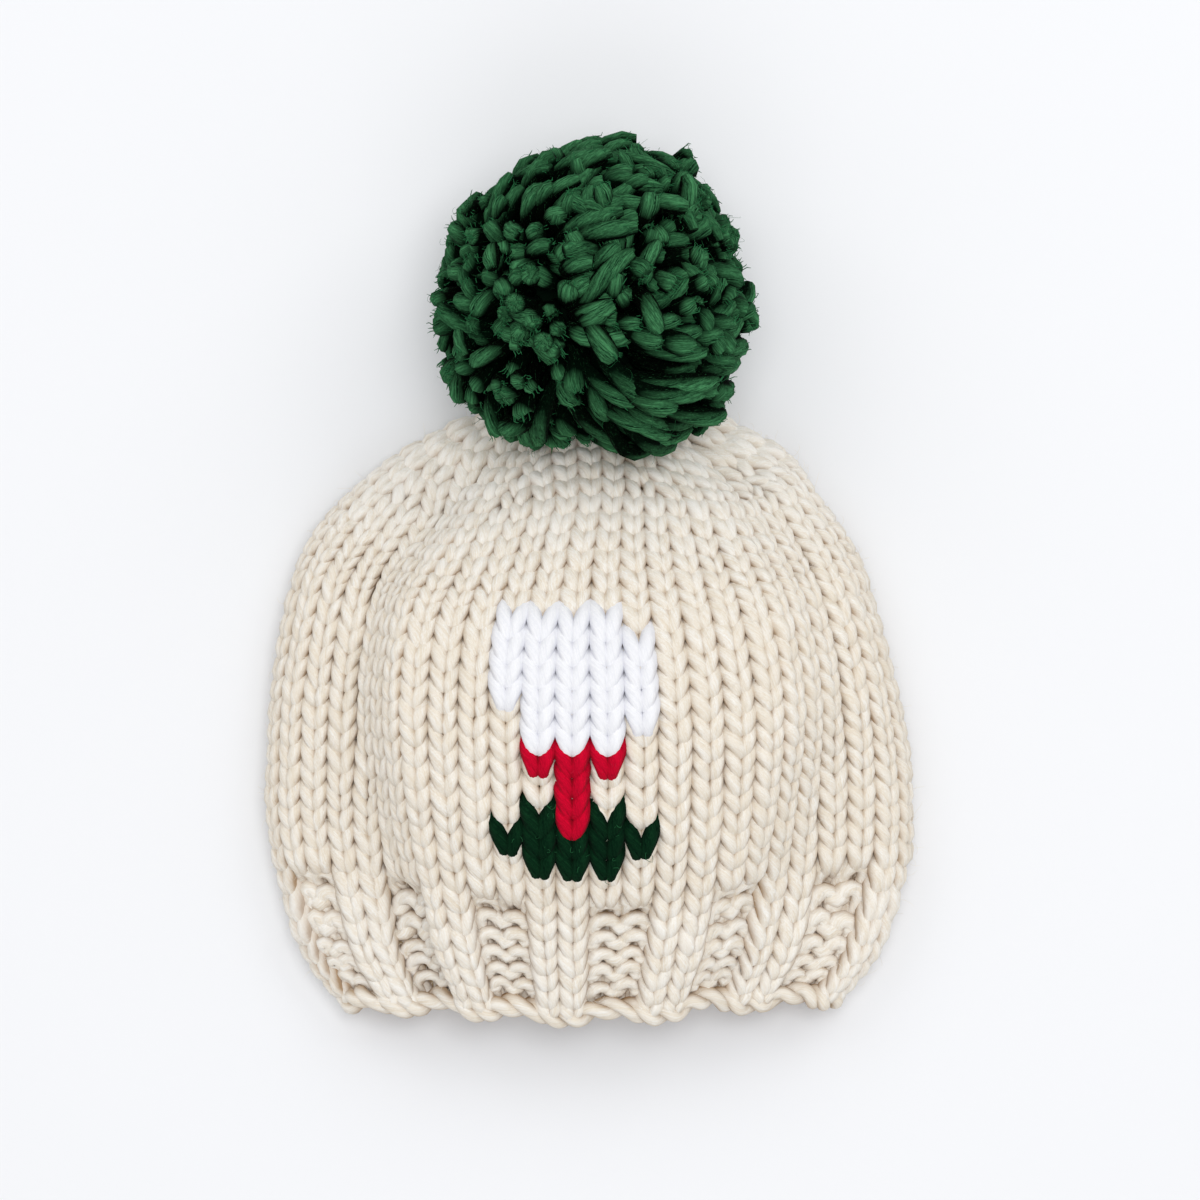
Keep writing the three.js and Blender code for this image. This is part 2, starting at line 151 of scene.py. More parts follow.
POMPOM_OUTLINE = (
    OutlinePoint(0, 40.3),
    OutlinePoint(48, 41.3),
    OutlinePoint(93, 38.3),
    OutlinePoint(110, 38.3),
    OutlinePoint(119, 34.5),
    OutlinePoint(128, 38.0),
    OutlinePoint(161, 39.4),
    OutlinePoint(199, 42.0),
    OutlinePoint(224, 44.5),
    OutlinePoint(242, 46.0),
    OutlinePoint(253, 42.0),
    OutlinePoint(268, 38.0),
    OutlinePoint(280, 41.5),
    OutlinePoint(294, 47.0),
    OutlinePoint(320, 46.5),
    OutlinePoint(341, 42.5),
)


class Side(Enum):
    """The two folded sides of the lying hat."""

    LEFT = "left"
    RIGHT = "right"


@dataclass
class HatSurface:
    """The outside of the hat as a grid of places, sampled at any column and row.

    The stretches say how much wider the middle columns are, the slopes how the steep sides of the
    puffed front run, and the steps how finely the grid and its measures are taken.
    """

    column_zero_x: float = -4.6
    apex_x: float = 5.9
    crown_start: float = 17.0
    body_stretch: float = 0.17
    crown_stretch: float = 0.02
    stretch_rows: float = 6.0
    stretch_columns: float = 4.0
    slope_left: float = 0.075
    slope_right: float = 0.13
    slope_foot: float = 0.27
    slope_top: float = 0.88
    foot_power: float = 1.4
    climb_power: float = 0.9
    fold_lean: float = 0.08
    handle_share: float = 0.39
    quarter_steps: int = 36
    end_crowding: float = 1.7
    per_row: int = 10
    per_column: int = 10
    fold_step: float = 0.2
    edge_step: float = 0.4
    spacing_step: float = 0.3
    normal_columns: int = 4
    normal_rows: int = 2
    places: Array = field(init=False)
    normals: Array = field(init=False)

    def __post_init__(self) -> None:
        """Works out the grids of places and outward directions."""
        rows = np.arange(int(APEX_ROW) * self.per_row + 1) / self.per_row
        self.places = np.stack([self._row_places(row) for row in rows])
        self.normals = self._grid_normals()

    def _section(self, name: str, row: float) -> float:
        """Reads one value of the section table on a smooth curve through the sections.

        Args:
            name: A field of Section.
            row: Any row of the hat.

        Returns:
            The value at that row.
        """
        last = len(SECTIONS) - 1
        i = 0
        while i < last - 1 and row > SECTIONS[i + 1].row:
            i += 1

        def slope(k: int) -> float:
            """Gives the curve's slope at a section from the sections beside it."""
            low, high = SECTIONS[max(k - 1, 0)], SECTIONS[min(k + 1, last)]
            return (getattr(high, name) - getattr(low, name)) / (high.row - low.row)

        span = SECTIONS[i + 1].row - SECTIONS[i].row
        t = (row - SECTIONS[i].row) / span
        start, end = getattr(SECTIONS[i], name), getattr(SECTIONS[i + 1], name)
        straight = (1 + 2 * t) * (1 - t) ** 2 * start + t * t * (3 - 2 * t) * end
        return straight + t * (1 - t) ** 2 * span * slope(i) + t * t * (t - 1) * span * slope(i + 1)

    def _fold(self, side: Side, row: float) -> tuple[Array, Array]:
        """Finds where a round is folded over.

        Args:
            side: Which folded side.
            row: The round's row.

        Returns:
            The fold's level place, and the level direction from it into the hat.
        """

        def level(r: float) -> Array:
            """Gives the fold's level place at a row."""
            return np.array([self._section(f"{side.value}_x", r), self._section(f"{side.value}_y", r)])

        above, below = min(row + self.fold_step, APEX_ROW), max(row - self.fold_step, 0.0)
        along = unit(level(above) - level(below))
        turn = 1.0 if side is Side.LEFT else -1.0
        inward = np.array([turn * along[1], min(-turn * along[0], self.fold_lean)])
        return level(row), unit(inward)

    def _swell(self, share: Array, rise: float, half_width: float) -> Array:
        """Shapes the puffed front.

        Args:
            share: How far out from the middle each point is, from 0 to 1.
            rise: Where the steep side lies.
            half_width: Half the width of the steep side.

        Returns:
            Heights as shares of the crest.
        """
        foot, top = rise + half_width, rise - half_width
        outer = self.slope_foot * (1 - (np.clip((share - foot) / (1 - foot), 0, 1)) ** self.foot_power)
        climb = ramp(share, foot, top) ** self.climb_power
        middle = self.slope_foot + (self.slope_top - self.slope_foot) * climb
        inner = 1 - (1 - self.slope_top) * (share / top) ** 2
        return np.where(share > foot, outer, np.where(share > top, middle, inner))

    def _quarter(self, side: Side, front: bool, row: float) -> Array:
        """Draws a quarter of a round, from the folded end to the middle.

        Args:
            side: Which folded side it starts at.
            front: Whether it is the upper wall.
            row: The round's row.

        Returns:
            Places along the quarter.
        """
        place, inward = self._fold(side, row)
        middle_x = self.apex_x * float(ramp(row, self.crown_start, APEX_ROW))
        middle = np.array([middle_x, self._section("front_y" if front else "back_y", row)])
        handle = self.handle_share * float(np.linalg.norm(place - middle))
        level = np.array([-handle if side is Side.LEFT else handle, 0.0])
        corners = (place, place + inward * handle, middle + level, middle)
        t = ((np.arange(self.quarter_steps + 1) / self.quarter_steps) ** self.end_crowding)[:, None]
        weights = ((1 - t) ** 3, 3 * t * (1 - t) ** 2, 3 * t * t * (1 - t), t**3)
        flat = sum(w * c for w, c in zip(weights, corners))
        run = running_length(flat)
        half = FOLD_HEIGHT / 2
        turned = np.sqrt(1 - (1 - np.minimum(run / half, 1)) ** 2)
        width = self.slope_left if side is Side.LEFT else self.slope_right
        swell = self._swell(1 - run / max(run[-1], 1e-6), self._section(f"{side.value}_rise", row), width)
        crest = FOLD_HEIGHT + (self._section("crest", row) - FOLD_HEIGHT) * swell
        height = half + (crest - half) * turned if front else half - half * turned
        return np.column_stack([flat, height])

    def _row_places(self, row: float) -> Array:
        """Places every grid column of one row.

        Args:
            row: The round's row.

        Returns:
            Places for columns -24 to 24.
        """
        left_back = self._quarter(Side.LEFT, False, row)[::-1]
        left_front = self._quarter(Side.LEFT, True, row)
        right_front = self._quarter(Side.RIGHT, True, row)[::-1]
        right_back = self._quarter(Side.RIGHT, False, row)
        line = np.concatenate([left_back, left_front[1:], right_front[1:], right_back[1:]])
        run = running_length(line)
        steps = self.quarter_steps
        shift = float(ramp(row, self.crown_start, APEX_ROW))
        zero_x = self.column_zero_x + (self.apex_x - self.column_zero_x) * shift
        top = slice(steps, 3 * steps + 1)
        zero = float(np.interp(zero_x, line[top, 0] + np.arange(2 * steps + 1) * 1e-9, run[top]))
        half = COLUMNS / 2
        c = np.arange(-half * self.per_column, half * self.per_column + 1) / self.per_column
        narrowing = float(ramp(row, self.crown_start, self.crown_start + self.stretch_rows))
        extra = self.body_stretch + (self.crown_stretch - self.body_stretch) * narrowing

        def reach(value: Array | float) -> Array:
            """Counts columns with the middle ones wider."""
            return value + extra * self.stretch_columns * np.tanh(np.asarray(value) / self.stretch_columns)

        share = reach(np.minimum(np.abs(c), FOLD_COLUMN)) / reach(FOLD_COLUMN)
        back = np.clip((np.abs(c) - FOLD_COLUMN) / (half - FOLD_COLUMN), 0, 1)
        left_at = zero - (zero - run[steps]) * share - run[steps] * back
        right_at = zero + (run[3 * steps] - zero) * share + (run[-1] - run[3 * steps]) * back
        at = np.where(c < 0, left_at, right_at)
        return np.stack([np.interp(at, run, line[:, axis]) for axis in range(3)], axis=1)

    def _grid_normals(self) -> Array:
        """Works out the outward direction at every grid place.

        Returns:
            Directions of the same layout as the places.
        """
        open_grid = self.places[:, :-1]
        step = self.normal_columns
        across = np.roll(open_grid, -step, axis=1) - np.roll(open_grid, step, axis=1)
        index = np.arange(len(self.places))
        above = self.places[np.minimum(index + self.normal_rows, len(index) - 1)]
        below = self.places[np.maximum(index - self.normal_rows, 0)]
        normals = unit(np.cross(across, (above - below)[:, :-1]))
        normals[-1] = (0.0, 1.0, 0.0)
        return np.concatenate([normals, normals[:, :1]], axis=1)

    def _read(self, grid: Array, column: Array, row: Array) -> Array:
        """Reads a grid between its samples.

        Args:
            grid: Places or normals.
            column: Columns, any number of times round.
            row: Rows, kept on the hat.

        Returns:
            The grid's values there.
        """
        x = ((column + COLUMNS / 2) % COLUMNS) * self.per_column
        y = np.clip(row, 0, APEX_ROW) * self.per_row
        i = np.minimum(x.astype(int), grid.shape[1] - 2)
        j = np.minimum(y.astype(int), grid.shape[0] - 2)
        u, v = (x - i)[..., None], (y - j)[..., None]
        low = grid[j, i] * (1 - u) + grid[j, i + 1] * u
        high = grid[j + 1, i] * (1 - u) + grid[j + 1, i + 1] * u
        return low * (1 - v) + high * v

    def normal(self, column: Array, row: Array) -> Array:
        """Gives the outward directions at columns and rows."""
        return unit(self._read(self.normals, np.asarray(column, float), np.asarray(row, float)))

    def inside(self, column: Array, row: Array, depth: Array | float) -> Array:
        """Gives places sunk below the outside of the hat.

        Args:
            column: Columns.
            row: Rows; those below row 0 run on past the edge.
            depth: Depth below the outside in millimetres.

        Returns:
            Places in millimetres.
        """
        column, row = np.broadcast_arrays(np.asarray(column, float), np.asarray(row, float))
        place = self._read(self.places, column, row)
        edge = self._read(self.places, column, np.zeros_like(row))
        higher = self._read(self.places, column, np.full_like(row, self.edge_step))
        place = place + (edge - higher) / self.edge_step * np.maximum(-row, 0)[..., None]
        return place - self.normal(column, row) * np.asarray(depth, float)[..., None]

    def spacing(self, column: Array, row: Array) -> tuple[Array, Array]:
        """Measures the knitting at places on the hat.

        Args:
            column: Columns.
            row: Rows.

        Returns:
            Width of a column and height of a row in millimetres.
        """
        step = self.spacing_step
        wide = self._read(self.places, column + step, row) - self._read(self.places, column - step, row)
        low, high = np.clip(row - step, 0, APEX_ROW), np.clip(row + step, 0, APEX_ROW)
        tall = self._read(self.places, column, high) - self._read(self.places, column, low)
        return np.linalg.norm(wide, axis=-1) / (2 * step), np.linalg.norm(tall, axis=-1) / (high - low)


def rib_pattern(column: Array, steepness: float) -> Array:
    """Gives -1 in the sunk pairs of columns and 1 in the proud ones, squarer where it is steeper."""
    wave = np.cos(2 * np.pi * (np.asarray(column) + 0.5) / RIB_REPEAT)
    return np.tanh(steepness * wave) / math.tanh(steepness)


def rib_wave(column: Array, row: Array | float) -> Array:
    """Says how the ribbing stands out, fading away above it.

    Args:
        column: Columns.
        row: Rows.

    Returns:
        Values from -1 in the sunk pairs to 1 on the proud pairs, and 1 above the ribbing.
    """
    wave = rib_pattern(column, 1.8)
    above = ramp(np.asarray(row), RIB_ROWS - 0.6, RIB_ROWS + 0.9)
    return wave * (1 - above) + above


def gather_depth(column: Array, row: Array) -> Array:
    """Says the depth of the creases of the crown.

    Args:
        column: Columns.
        row: Rows.

    Returns:
        Depths in millimetres.
    """
    growing = ramp(row, 19, 27) * (1 - ramp(row, 28.5, 31))
    turn = 2 * np.pi * (column - WEDGE_LINE) / WEDGE_COLUMNS
    return CREASE_DEPTH * growing * (0.5 + 0.5 * np.cos(turn)) ** 3


def per_wedge(row: Array | float) -> Array:
    """Counts the stitches between two decrease lines as a running number, from 6 down to 1."""
    decreases = (np.asarray(row, float) - DECREASE_ROW) / ROWS_PER_DECREASE
    return np.clip(WEDGE_COLUMNS - decreases, 1, WEDGE_COLUMNS)


@dataclass
class YarnPath:
    """One yarn's centre line with what its looks need at each point.

    Attributes:
        points: Places in millimetres.
        thick: Radius in millimetres at each point.
        front: 1 where the yarn lies in front and 0 where it goes behind; the finish paints shade where it is
            low.
        tint: A random shade of the yarn about 0.5; below 0 the yarn is painted paler, as painted light.
        out: Directions away from the object, by which crevices are told from tops and the finish paints shade
            on the yarn's sides.
        closed: Whether the end joins the start.
    """

    points: Array
    thick: Array
    front: Array
    tint: Array
    out: Array
    closed: bool = False


class Value:
    """A socket that adds, multiplies and mixes with Python's operators."""

    def __init__(self, graph: "Graph", socket: bpy.types.NodeSocket) -> None:
        """Keeps the socket and the graph it belongs to."""
        self.graph = graph
        self.socket = socket

    def _math(self, operation: str, *values: "Value | float") -> "Value":
        """Adds a maths node that takes the values in order."""
        return self.graph.node("ShaderNodeMath", {"operation": operation}, dict(enumerate(values)))

    def __add__(self, other: "Value | float") -> "Value":
        """Adds another value."""
        return self._math("ADD", self, other)

    def __sub__(self, other: "Value | float") -> "Value":
        """Takes another value away."""
        return self._math("SUBTRACT", self, other)

    def __rsub__(self, other: float) -> "Value":
        """Takes this value from a number."""
        return self._math("SUBTRACT", other, self)

    def __mul__(self, other: "Value | float") -> "Value":
        """Multiplies by another value."""
        return self._math("MULTIPLY", self, other)

    def __pow__(self, other: "Value | float") -> "Value":
        """Raises to a power."""
        return self._math("POWER", self, other)

    def cos(self) -> "Value":
        """Takes the cosine of the value."""
        return self._math("COSINE", self)

    def sin(self) -> "Value":
        """Takes the sine of the value."""
        return self._math("SINE", self)

    def clamped(self) -> "Value":
        """Keeps the value between 0 and 1."""
        return self.graph.node("ShaderNodeClamp", {}, {0: self})

    def scaled(self, x: float, y: float, z: float) -> "Value":
        """Scales a vector along its axes."""
        return self.graph.node("ShaderNodeVectorMath", {"operation": "MULTIPLY"}, {0: self, 1: (x, y, z)})


class Graph:
    """A node tree that is filled from Python expressions."""

    def __init__(self, tree: bpy.types.NodeTree) -> None:
        """Keeps the tree that the nodes go into."""
        self.tree = tree

    def node(self, kind: str, settings: dict[str, object], inputs: dict, output: int | str = 0) -> Value:
        """Adds a node.

        Args:
            kind: The node's type.
            settings: Properties, set before any input.
            inputs: Values or linked sockets by name or number.
            output: Which output to hand back.

        Returns:
            The chosen output.
        """
        made = self.tree.nodes.new(kind)
        for name, value in settings.items():
            setattr(made, name, value)
        for name, value in inputs.items():
            if isinstance(value, Value):
                self.tree.links.new(value.socket, made.inputs[name])
            else:
                made.inputs[name].default_value = value
        return Value(self, made.outputs[output])

    def mix(self, share: Value | float, first: object, second: object) -> Value:
        """Mixes two colours by the share of the second."""
        return self.node("ShaderNodeMix", {"data_type": "RGBA"}, {0: share, 6: first, 7: second}, 2)

    def attribute(self, name: str, output: str = "Fac") -> Value:
        """Reads a value stored on the mesh: Fac gives a number and Vector a vector."""
        return self.node("ShaderNodeAttribute", {"attribute_name": name}, {}, output)

    def noise(self, vector: Value, scale: float, detail: float = 2.0, roughness: float = 0.5) -> Value:
        """Adds noise from about 0 to 1; detail and roughness say how many and how strong finer layers are."""
        inputs = {"Vector": vector, "Scale": scale, "Detail": detail, "Roughness": roughness}
        return self.node("ShaderNodeTexNoise", {}, inputs, "Fac")


Colour = tuple[float, float, float, float]


def colour(red: int, green: int, blue: int) -> Colour:
    """Turns an everyday screen colour into a linear one.

    Args:
        red: 0 to 255.
        green: 0 to 255.
        blue: 0 to 255.

    Returns:
        The linear colour with full alpha.
    """

    def linear(value: int) -> float:
        """Undoes the screen's curve for one channel."""
        share = value / 255
        return share / 12.92 if share <= 0.04045 else ((share + 0.055) / 1.055) ** 2.4

    return (linear(red), linear(green), linear(blue), 1.0)


def new_finish(name: str, constants: dict[str, object]) -> tuple[bpy.types.Material, Graph, dict]:
    """Starts a material.

    Args:
        name: Its name.
        constants: Inputs of its shader that are the same all over.

    Returns:
        The material, its node graph and its shader's inputs.
    """
    material = bpy.data.materials.new(name)
    material.use_nodes = True
    shader = next(n for n in material.node_tree.nodes if n.type == "BSDF_PRINCIPLED")
    for key, value in constants.items():
        shader.inputs[key].default_value = value
    return material, Graph(material.node_tree), shader.inputs


@dataclass(frozen=True)
class WoolFinish:
    """A woollen yarn of one colour.

    The starts say where a pattern sets in and the gains how strongly.

    Attributes:
        name: The material's name.
        light: Colour of the fibres that catch the light, a painted highlight; stray fibres and the painted
            light of crown and ribbing mix towards it too.
        dark: Colour between the fibres and the plies, a painted shade; the random unevenness also darkens
            towards it.
        painted_shade: Colour of the painted shade where the yarn goes behind and on its sides.
        streaks: Fibre streaks round the yarn.
        streak_length: Length of a streak in millimetres.
        plies: Strands twisted together in the yarn.
        relief: Height of the streaks in millimetres.
        sheen: Weight of the soft bright rim.
        speckle: How much stray fibres lighten the yarn.
        side_shade: How much the yarn's sides take the painted shade.
        side_gain: How quickly the painted shade comes in towards the sides.
        sunk_shade: How much the yarn takes the painted shade where it goes behind.
        gloss: Level of the plain reflection.
        fine_around: Fine streaks for each streak round the yarn.
        fine_along: Fine streaks for each streak along it.
        blotches: Blotches round the yarn and in a metre of it.
        even_shade: Share of the dark colour all over.
    """

    name: str
    light: Colour
    dark: Colour
    painted_shade: Colour
    streaks: float = 5.0
    streak_length: float = 5.0
    plies: int = 3
    relief: float = 0.45
    sheen: float = 0.08
    speckle: float = 0.25
    side_shade: float = 0.85
    side_gain: float = 1.2
    sunk_shade: float = 0.7
    gloss: float = 0.15
    fine_around: float = 2.6
    fine_along: float = 1.6
    blotches: tuple[float, float] = (0.7, 90.0)
    even_shade: float = 0.12
    roughness: float = 0.6
    streak_start: float = 0.36
    streak_gain: float = 2.4
    fine_gain: float = 1.2
    ply_power: float = 0.6
    ply_share: float = 0.25
    side_start: float = 0.84
    sunk_gain: float = 1.5
    hair_start: float = 0.62
    hair_gain: float = 6.0
    pale_gain: float = 0.6

    def make(self) -> bpy.types.Material:
        """Builds the material."""
        constants = {
            "Roughness": 0.92,
            "Specular IOR Level": self.gloss,
            "Sheen Weight": self.sheen,
            "Sheen Roughness": 0.45,
        }
        material, graph, inputs = new_finish(self.name, constants)
        strand = graph.attribute("strand", "Vector")
        around, along = self.streaks, MM_PER_METRE / self.streak_length
        fibres = graph.noise(strand.scaled(around, around, along), 1.0, 3.0, self.roughness)
        around, along = around * self.fine_around, along * self.fine_along
        fine = graph.noise(strand.scaled(around, around, along), 1.0, 2.0, self.roughness)
        around, along = self.blotches
        blotch = graph.noise(strand.scaled(around, around, along), 1.0, 1.0)
        # Painted light and shade on a small scale: fibre streaks and ply crests are painted towards the light
        # colour, the grooves between them towards the dark one, beside the bump.
        ply = ((graph.attribute("angle") * float(self.plies)).cos() * 0.5 + 0.5) ** self.ply_power
        streak = ((fibres - self.streak_start) * self.streak_gain + (fine - 0.5) * self.fine_gain).clamped()
        body = graph.mix(streak * (1 - self.ply_share) + ply * self.ply_share, self.dark, self.light)
        front, top, tint = (graph.attribute(key) for key in ("front", "top", "tint"))
        # Painted shade: the painted shade colour comes in where the yarn goes behind (low front) and on its
        # sides that face away from the outside (low top).
        sunk = ((0.5 - front) * self.sunk_gain).clamped() * self.sunk_shade
        side = ((self.side_start - top) * self.side_gain).clamped() * self.side_shade
        shaded = graph.mix((sunk + side).clamped(), body, self.painted_shade)
        uneven = (tint - 0.5) * 0.5 + (blotch - 0.5) * 0.5 + self.even_shade
        tinted = graph.mix(uneven, shaded, self.dark)
        hair = ((fine - self.hair_start) * self.hair_gain).clamped() * self.speckle
        # Painted light: a tint below 0 mixes the yarn towards the light colour, as on the crown and the
        # ribbing.
        pale = (tint * -self.pale_gain).clamped()
        final = graph.mix((hair + pale).clamped(), tinted, self.light)
        height = fibres * 0.55 + fine * 0.3 + ply * 0.5
        relief = {"Strength": 0.9, "Distance": self.relief / MM_PER_METRE, "Height": height}
        bump = graph.node("ShaderNodeBump", {}, relief)
        graph.tree.links.new(final.socket, inputs["Base Color"])
        graph.tree.links.new(bump.socket, inputs["Normal"])
        return material


@dataclass(frozen=True)
class PlainFinish:
    """A matt surface of one colour, for the painted shade between yarns and behind the pompom's locks, and
    for single fibres.
    """

    name: str
    shade: Colour
    sheen: float = 0.0
    patch_scale: float = 300.0
    patch_shade: float = 0.72

    def make(self) -> bpy.types.Material:
        """Builds the material."""
        constants = {"Roughness": 0.95, "Specular IOR Level": 0.1, "Sheen Weight": self.sheen}
        material, graph, inputs = new_finish(self.name, constants)
        where = graph.node("ShaderNodeTexCoord", {}, {}, "Object")
        darker = tuple(v * self.patch_shade for v in self.shade[:3]) + (1.0,)
        blend = graph.mix(graph.noise(where, self.patch_scale), self.shade, darker)
        graph.tree.links.new(blend.socket, inputs["Base Color"])
        return material


def linked(name: str, data: bpy.types.ID) -> bpy.types.Object:
    """Makes an object of the data and puts it into the scene."""
    made = bpy.data.objects.new(name, data)
    bpy.context.scene.collection.objects.link(made)
    return made


class YarnSweeper:
    """The geometry nodes tree that turns centre lines into yarn, and the means to run it."""

    def __init__(self) -> None:
        """Builds the tree."""
        self.tree = bpy.data.node_groups.new("sweep_yarn", "GeometryNodeTree")
        self.inputs: dict[str, str] = {}
        self._build()

    def _socket(self, name: str, kind: str, direction: str = "INPUT") -> None:
        """Adds an input or output of the tree, and notes what an input is called inside."""
        made = self.tree.interface.new_socket(name=name, in_out=direction, socket_type=kind)
        if direction == "INPUT":
            self.inputs[name] = made.identifier

    def _build(self) -> None:
        """Fills the tree: lines to curves, a round profile, the sweep, and what the finish reads."""
        self._socket("Lines", "NodeSocketGeometry")
        self._socket("Sides", "NodeSocketInt")
        self._socket("Twist", "NodeSocketFloat")
        self._socket("Material", "NodeSocketMaterial")
        self._socket("Yarn", "NodeSocketGeometry", "OUTPUT")
        graph = Graph(self.tree)
        given = self.tree.nodes.new("NodeGroupInput")
        lines, sides, twist, material = (Value(graph, given.outputs[i]) for i in range(4))

        def stored(geometry: Value, name: str, value: Value, kind: str = "FLOAT") -> Value:
            """Stores a value on every point of a geometry."""
            settings = {"data_type": kind, "domain": "POINT"}
            inputs = {"Geometry": geometry, "Name": name, "Value": value}
            return graph.node("GeometryNodeStoreNamedAttribute", settings, inputs)

        def named(name: str, kind: str = "FLOAT") -> Value:
            """Reads a stored value."""
            return graph.node("GeometryNodeInputNamedAttribute", {"data_type": kind}, {"Name": name})

        curve = graph.node("GeometryNodeMeshToCurve", {}, {"Mesh": lines})
        curve = stored(curve, "run", graph.node("GeometryNodeSplineParameter", {}, {}, "Length"))
        round_inputs = {"Resolution": sides, "Radius": 1.0}
        circle = graph.node("GeometryNodeCurvePrimitiveCircle", {"mode": "RADIUS"}, round_inputs)
        factor = graph.node("GeometryNodeSplineParameter", {}, {}, "Factor")
        circle = stored(circle, "turn", factor * (2 * math.pi))
        sweep = {"Curve": curve, "Profile Curve": circle, "Scale": named("thick"), "Fill Caps": True}
        mesh = graph.node("GeometryNodeCurveToMesh", {}, sweep)
        angle = named("turn") + named("run") * twist
        strand = graph.node("ShaderNodeCombineXYZ", {}, {0: angle.cos(), 1: angle.sin(), 2: named("run")})
        mesh = stored(mesh, "strand", strand, "FLOAT_VECTOR")
        # top says how far the yarn faces outward; the finish paints shade where it is low.
        facing = {0: graph.node("GeometryNodeInputNormal", {}, {}), 1: named("out", "FLOAT_VECTOR")}
        top = graph.node("ShaderNodeVectorMath", {"operation": "DOT_PRODUCT"}, facing, 1)
        mesh = stored(mesh, "top", top)
        mesh = graph.node("GeometryNodeSetShadeSmooth", {}, {0: mesh})
        mesh = graph.node("GeometryNodeRealizeInstances", {}, {0: mesh})
        mesh = graph.node("GeometryNodeSetMaterial", {}, {"Geometry": mesh, "Material": material})
        result = self.tree.nodes.new("NodeGroupOutput")
        self.tree.links.new(mesh.socket, result.inputs[0])

    def sweep(
        self,
        name: str,
        paths: Sequence[YarnPath],
        material: bpy.types.Material,
        slot: str,
        *nodes: str,
        sides: int = 10,
        turns_per_metre: float = 45.0,
    ) -> None:
        """Sweeps paths into one plain mesh in metres and ties it to the frame.

        Args:
            name: The object's name.
            paths: Centre lines.
            material: The yarn's finish.
            slot: Handed on to placed, where it is not used.
            nodes: Nodes of the frame that it stands for.
            sides: Sides of the round profile.
            turns_per_metre: How tightly the yarn is spun.
        """
        edges = []
        start = 0
        for path in paths:
            ids = np.arange(start, start + len(path.points))
            edges.append(np.column_stack([ids[:-1], ids[1:]]))
            if path.closed:
                edges.append(np.array([[ids[-1], ids[0]]]))
            start += len(ids)
        points = np.concatenate([path.points for path in paths])
        places = (points + FRAME_SHIFT) / MM_PER_METRE
        lines = bpy.data.meshes.new(f"{name}_lines")
        lines.from_pydata(places.tolist(), np.concatenate(edges).tolist(), [])
        for key, divisor in (("thick", MM_PER_METRE), ("front", 1), ("tint", 1), ("out", 1)):
            values = np.concatenate([getattr(path, key) for path in paths])
            self._store(lines, key, values / divisor)
        made = linked(name, lines)
        modifier = made.modifiers.new("sweep", "NODES")
        modifier.node_group = self.tree
        modifier[self.inputs["Sides"]] = sides
        modifier[self.inputs["Twist"]] = turns_per_metre * 2 * math.pi
        modifier[self.inputs["Material"]] = material
        view = bpy.context.evaluated_depsgraph_get()
        mesh = bpy.data.meshes.new_from_object(made.evaluated_get(view), depsgraph=view)
        made.modifiers.clear()
        made.data = mesh
        mesh.name = name
        bpy.data.meshes.remove(lines)
        self._store_angle(mesh)
        triangles = sum(len(polygon.vertices) - 2 for polygon in mesh.polygons)
        log.info("%s: %d yarns, %d triangles", name, len(paths), triangles)
        placed(made, slot, *nodes)

    @staticmethod
    def _store(mesh: bpy.types.Mesh, name: str, values: Array, domain: str = "POINT") -> None:
        """Stores numbers or vectors on a mesh.

        Args:
            mesh: The mesh.
            name: The stored name.
            values: A number or a vector for every point or corner.
            domain: POINT or CORNER.
        """
        kind, key = ("FLOAT_VECTOR", "vector") if values.ndim > 1 else ("FLOAT", "value")
        stored = mesh.attributes.new(name, kind, domain)
        stored.data.foreach_set(key, values.astype(np.float32).ravel())

    def _store_angle(self, mesh: bpy.types.Mesh) -> None:
        """Keeps the turn round the yarn on each face corner, so that it runs on over the seam.

        Args:
            mesh: A swept mesh.
        """

        def read(items: bpy.types.bpy_prop_collection, name: str, kind: type, width: int = 1) -> Array:
            """Reads one property of every item."""
            values = np.zeros(len(items) * width, kind)
            items.foreach_get(name, values)
            return values

        strand = read(mesh.attributes["strand"].data, "vector", np.float32, 3).reshape(-1, 3)
        angle = np.arctan2(strand[:, 1], strand[:, 0])
        corner_vertex = read(mesh.loops, "vertex_index", np.int32)
        starts = read(mesh.polygons, "loop_start", np.int32)
        totals = read(mesh.polygons, "loop_total", np.int32)
        first = np.repeat(angle[corner_vertex[starts]], totals)
        here = angle[corner_vertex]
        here = here - np.round((here - first) / (2 * np.pi)) * 2 * np.pi
        self._store(mesh, "angle", here, "CORNER")


def placed(made: bpy.types.Object, slot: str, *nodes: str) -> None:
    """Ties a finished piece to the frame.

    Args:
        made: The piece.
        slot: Not used.
        nodes: Nodes of the frame that it stands for.
    """
    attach(made, "root")
    if nodes:
        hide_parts(*nodes)


def solid_mesh(
    name: str, vertices: Array, faces: Iterable[Sequence[int]], material: bpy.types.Material
) -> bpy.types.Object:
    """Makes a smooth mesh object from points in millimetres.

    Args:
        name: The object's name.
        vertices: Places in millimetres.
        faces: Corners of each face.
        material: Its finish.

    Returns:
        The new object.
    """
    mesh = bpy.data.meshes.new(name)
    mesh.from_pydata(((vertices + FRAME_SHIFT) / MM_PER_METRE).tolist(), [], list(faces))
    mesh.polygons.foreach_set("use_smooth", [True] * len(mesh.polygons))
    mesh.materials.append(material)
    made = linked(name, mesh)
    log.info("%s: %d faces", name, len(mesh.polygons))
    return made


class Colourway(Enum):
    """Letters of the picture's chart."""

    WHITE = "w"
    RED = "r"
    GREEN = "g"


